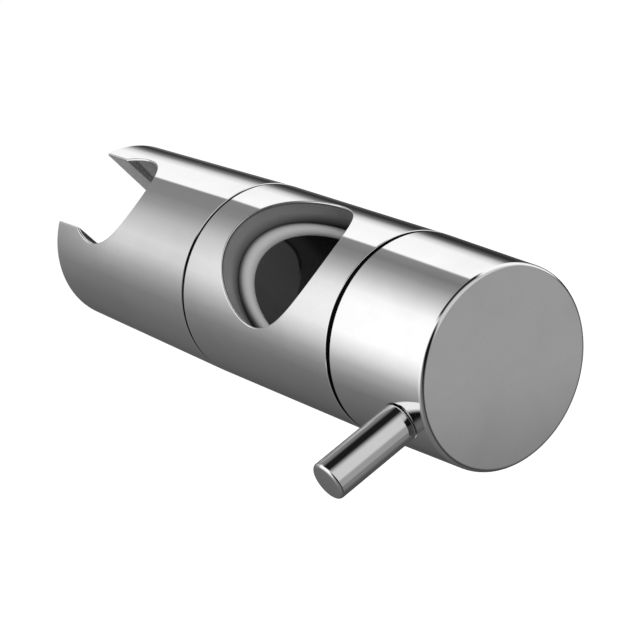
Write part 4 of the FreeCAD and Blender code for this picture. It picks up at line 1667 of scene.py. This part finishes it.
@dataclass
class Studio:
    """The camera, the lamps, the floor and the walls of light that the chrome reflects."""

    camera_place: tuple[float, float, float] = (408.572, -120.001, 319.491)
    camera_right: tuple[float, float, float] = (0.5968274, 0.57841675, -0.55608553)
    camera_down: tuple[float, float, float] = (0.22606032, -0.78619619, -0.57514544)
    lens: float = 139.03
    sensor: float = 36.0
    near_clip: float = 0.01
    far_clip: float = 20.0
    floor_half: float = 6.0
    floor_tones: Level = (0.985, 1.0)
    floor_scale: float = 3.0
    floor_depth: float = 0.25
    floor_glow: float = 0.1
    lamp_size: float = 0.9
    lamp_power: float = 7.0
    lamp_place: tuple[float, float, float] = (0.55, 0.25, 0.8)
    fill: float = 0.75
    chrome_tint: float = 0.825
    strip_light: float = 0.012
    rim_light: float = 1.15
    front_levels: tuple[float, float, float] = (0.785, 0.59, 0.47)
    flag_levels: tuple[float, float, float] = (0.07, 0.26, 0.42)
    # Where each mask of the room rises from 0 to 1, along the part of a direction that its name ends in
    lean_y: Level = (0.0, -0.2)
    lean: float = -0.015
    holder_end_x: Level = (-0.856, -0.87)
    past_holder_x: Level = (-0.83, -0.725)
    strip_x: Level = (-0.72, -0.36)
    strip_y: Level = (-0.08, 0.14)
    strip_z: Level = (0.0, 0.12)
    strip_slope: float = -0.5
    rim_x: Level = (-0.3, -0.12)
    rim_y: Level = (0.78, 0.86)
    front_x: Level = (0.06, 0.6)
    front_z: Level = (-0.22, 0.03)
    front_low_z: Level = (-0.525, -0.585)
    front_slope: float = 0.5
    flag_y: Level = (0.08, -0.1)
    flag_z: Level = (-0.1, 0.05)
    past_flag_y: Level = (-0.45, -0.62)
    end_levels: tuple[Level, ...] = (
        (-180.0, 0.46), (-97.0, 0.35), (-62.0, 0.35), (-37.0, 0.37), (0.0, 0.52), (50.0, 0.50), (66.0, 0.59),
        (85.0, 0.73), (105.0, 0.78), (122.0, 0.62), (140.0, 0.58), (157.0, 0.53), (180.0, 0.46),
    )
    far_levels: tuple[Level, ...] = (
        (-180.0, 0.47), (-150.0, 0.405), (-97.0, 0.33), (-62.0, 0.36), (-50.0, 0.40), (-40.0, 0.18), (-32.0, 0.28),
        (-24.0, 0.48), (-15.0, 0.82), (-6.0, 0.95), (27.5, 0.975), (28.5, 0.50), (50.0, 0.51), (66.0, 0.59),
        (85.0, 0.73), (112.0, 0.84), (128.0, 0.815), (150.0, 0.65), (165.0, 0.55), (180.0, 0.47),
    )
    near_levels: tuple[Level, ...] = (
        (-180.0, 0.53), (-165.0, 0.43), (-135.0, 0.37), (-97.0, 0.28), (-62.0, 0.33), (-48.0, 0.26), (-40.0, 0.16),
        (-32.0, 0.20), (-24.0, 0.40), (-15.0, 0.80), (-6.0, 0.95), (27.5, 0.985), (28.5, 0.53), (41.0, 0.47),
        (52.0, 0.56), (66.0, 0.73), (88.0, 0.97), (100.0, 1.0), (134.0, 1.0), (150.0, 0.87), (165.0, 0.67),
        (180.0, 0.53),
    )

    def build_camera(self) -> None:
        """Puts the camera where the photograph was taken from."""
        data = bpy.data.cameras.new("Camera")
        data.lens = self.lens
        data.sensor_width = self.sensor
        data.clip_start, data.clip_end = self.near_clip, self.far_clip
        camera = bpy.data.objects.new("Camera", data)
        right, up = Vector(self.camera_right), -Vector(self.camera_down)
        back = right.cross(up)
        turn = Matrix((right, up, back)).transposed().to_4x4()
        camera.matrix_world = Matrix.Translation(Vector(self.camera_place) * MM) @ turn
        bpy.context.scene.collection.objects.link(camera)
        bpy.context.scene.camera = camera

    def build_floor(self) -> None:
        """Lays a plain white floor well below the bracket, which shows no reflection in the chrome."""
        mesh = bpy.data.meshes.new("floor")
        half, depth = self.floor_half, -self.floor_depth
        mesh.from_pydata([(-half, -half, depth), (half, -half, depth), (half, half, depth), (-half, half, depth)],
                         [], [(0, 1, 2, 3)])
        floor = place("floor", mesh)
        material, nodes, shader = new_material("floor_white")
        clouds = spots(nodes, self.floor_scale, detail=2.0)
        nodes.feed(shader.inputs["Base Color"], nodes.mix(clouds, *self.floor_tones))
        shader.inputs["Roughness"].default_value = 1.0
        shader.inputs["Specular IOR Level"].default_value = 0.0
        shader.inputs["Emission Color"].default_value = rgba(1.0)
        seen = nodes.add("ShaderNodeLightPath").outputs["Is Camera Ray"]
        nodes.feed(shader.inputs["Emission Strength"], nodes.maths("MULTIPLY", seen, self.floor_glow))
        mesh.materials.append(material)
        floor.visible_glossy = False

    def build_lamps(self) -> None:
        """Hangs one large soft lamp above and in front, which the chrome doesn't show."""
        data = bpy.data.lights.new("overhead", "AREA")
        data.shape = "DISK"
        data.size = self.lamp_size
        data.energy = self.lamp_power
        lamp = bpy.data.objects.new("overhead", data)
        lamp.location = self.lamp_place
        lamp.rotation_mode = "QUATERNION"
        lamp.rotation_quaternion = Vector(lamp.location).to_track_quat("Z", "Y")
        lamp.visible_glossy = False
        bpy.context.scene.collection.objects.link(lamp)

    def _light(self, level: float) -> float:
        """How bright a wall must be for the chrome to show it at a display level."""
        return linear(level) / self.chrome_tint

    def _walls(self, nodes: Nodes, x: object, y: object, z: object) -> bpy.types.NodeSocket:
        """The walls round the bracket: one that the holder's end shows, one for the holder, one for the rest.

        Args:
            nodes: the world's nodes.
            x: how far a direction points to the knob.
            y: how far it points to the right.
            z: how far it points up.

        Returns:
            The light of the walls.
        """
        round_axis = nodes.maths("MULTIPLY_ADD", nodes.maths("ARCTAN2", z, y), 0.5 / math.pi, 0.5)
        end, far, near = (nodes.ramp(round_axis, [(degrees / 360.0 + 0.5, self._light(level))
                                                  for degrees, level in levels])
                          for levels in (self.end_levels, self.far_levels, self.near_levels))
        leaning = nodes.maths("MULTIPLY_ADD", nodes.step(y, *self.lean_y), self.lean, x)
        holder = nodes.mix(nodes.step(leaning, *self.holder_end_x), far, end)
        walls = nodes.mix(nodes.step(x, *self.past_holder_x), holder, near)
        # A black strip overhead, and past it the light that the knob's rim catches
        overhead = nodes.step(nodes.maths("MULTIPLY_ADD", y, self.strip_slope, z), *self.strip_z)
        strip = nodes.maths("MULTIPLY", nodes.maths("MULTIPLY", nodes.step(x, *self.strip_x), overhead),
                            nodes.step(y, *self.strip_y))
        rim = nodes.maths("MULTIPLY", nodes.step(x, *self.rim_x), nodes.step(y, *self.rim_y))
        return nodes.mix(rim, nodes.mix(strip, walls, self.strip_light), self.rim_light)

    def _front(self, nodes: Nodes, y: object, z: object) -> bpy.types.NodeSocket:
        """The wall that the knob's end face shows, with a dark flag to its left.

        Args:
            nodes: the world's nodes.
            y: how far a direction points to the right.
            z: how far it points up.

        Returns:
            The light of the wall.
        """
        high, low, lowest = (self._light(level) for level in self.front_levels)
        sloped = nodes.maths("MULTIPLY_ADD", y, self.front_slope, z)
        front = nodes.mix(nodes.step(sloped, *self.front_low_z), low, lowest)
        front = nodes.mix(nodes.step(z, *self.front_z), front, high)
        high, low, past = (self._light(level) for level in self.flag_levels)
        flag = nodes.mix(nodes.step(z, *self.flag_z), low, high)
        flag = nodes.mix(nodes.step(y, *self.past_flag_y), flag, past)
        return nodes.mix(nodes.step(y, *self.flag_y), front, flag)

    def build_world(self) -> None:
        """Surrounds the scene: white to the camera, even light, and a photographer's room in the chrome."""
        world = bpy.data.worlds.new("studio")
        bpy.context.scene.world = world
        world.use_nodes = True
        nodes = Nodes(world.node_tree)
        x, y, z = nodes.coordinates("Generated")
        room = nodes.mix(nodes.step(x, *self.front_x), self._walls(nodes, x, y, z), self._front(nodes, y, z))
        path = nodes.add("ShaderNodeLightPath").outputs
        glossy = nodes.maths("MAXIMUM", path["Is Glossy Ray"], path["Is Transmission Ray"])
        light = nodes.mix(path["Is Camera Ray"], nodes.mix(glossy, self.fill, room), 1.0)
        nodes.feed(world.node_tree.nodes["Background"].inputs["Color"], light)

    def build(self) -> None:
        """Sets up the whole studio."""
        bpy.context.scene.view_settings.view_transform = "Standard"
        self.build_camera()
        self.build_floor()
        self.build_lamps()
        self.build_world()


def main() -> None:
    """Builds the studio, the finishes and every piece."""
    logging.basicConfig(level=logging.INFO, format="%(name)s: %(message)s")
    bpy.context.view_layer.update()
    Studio().build()
    finishes, lathe = Finishes(), Lathe()
    body, holder, knob = RailBody(), HandsetHolder(), ClampKnob()
    pieces = [body.build_body(finishes), body.build_bush(finishes), holder.build(finishes),
              knob.build_knob(finishes), knob.build_lever(finishes, lathe), *JointRings().build(finishes, lathe)]
    for piece in pieces:
        report(piece)
    for name, finish in CAD_FINISHES.items():
        finishes.dress(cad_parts[name], finish)


if __name__ == "__main__":
    main()
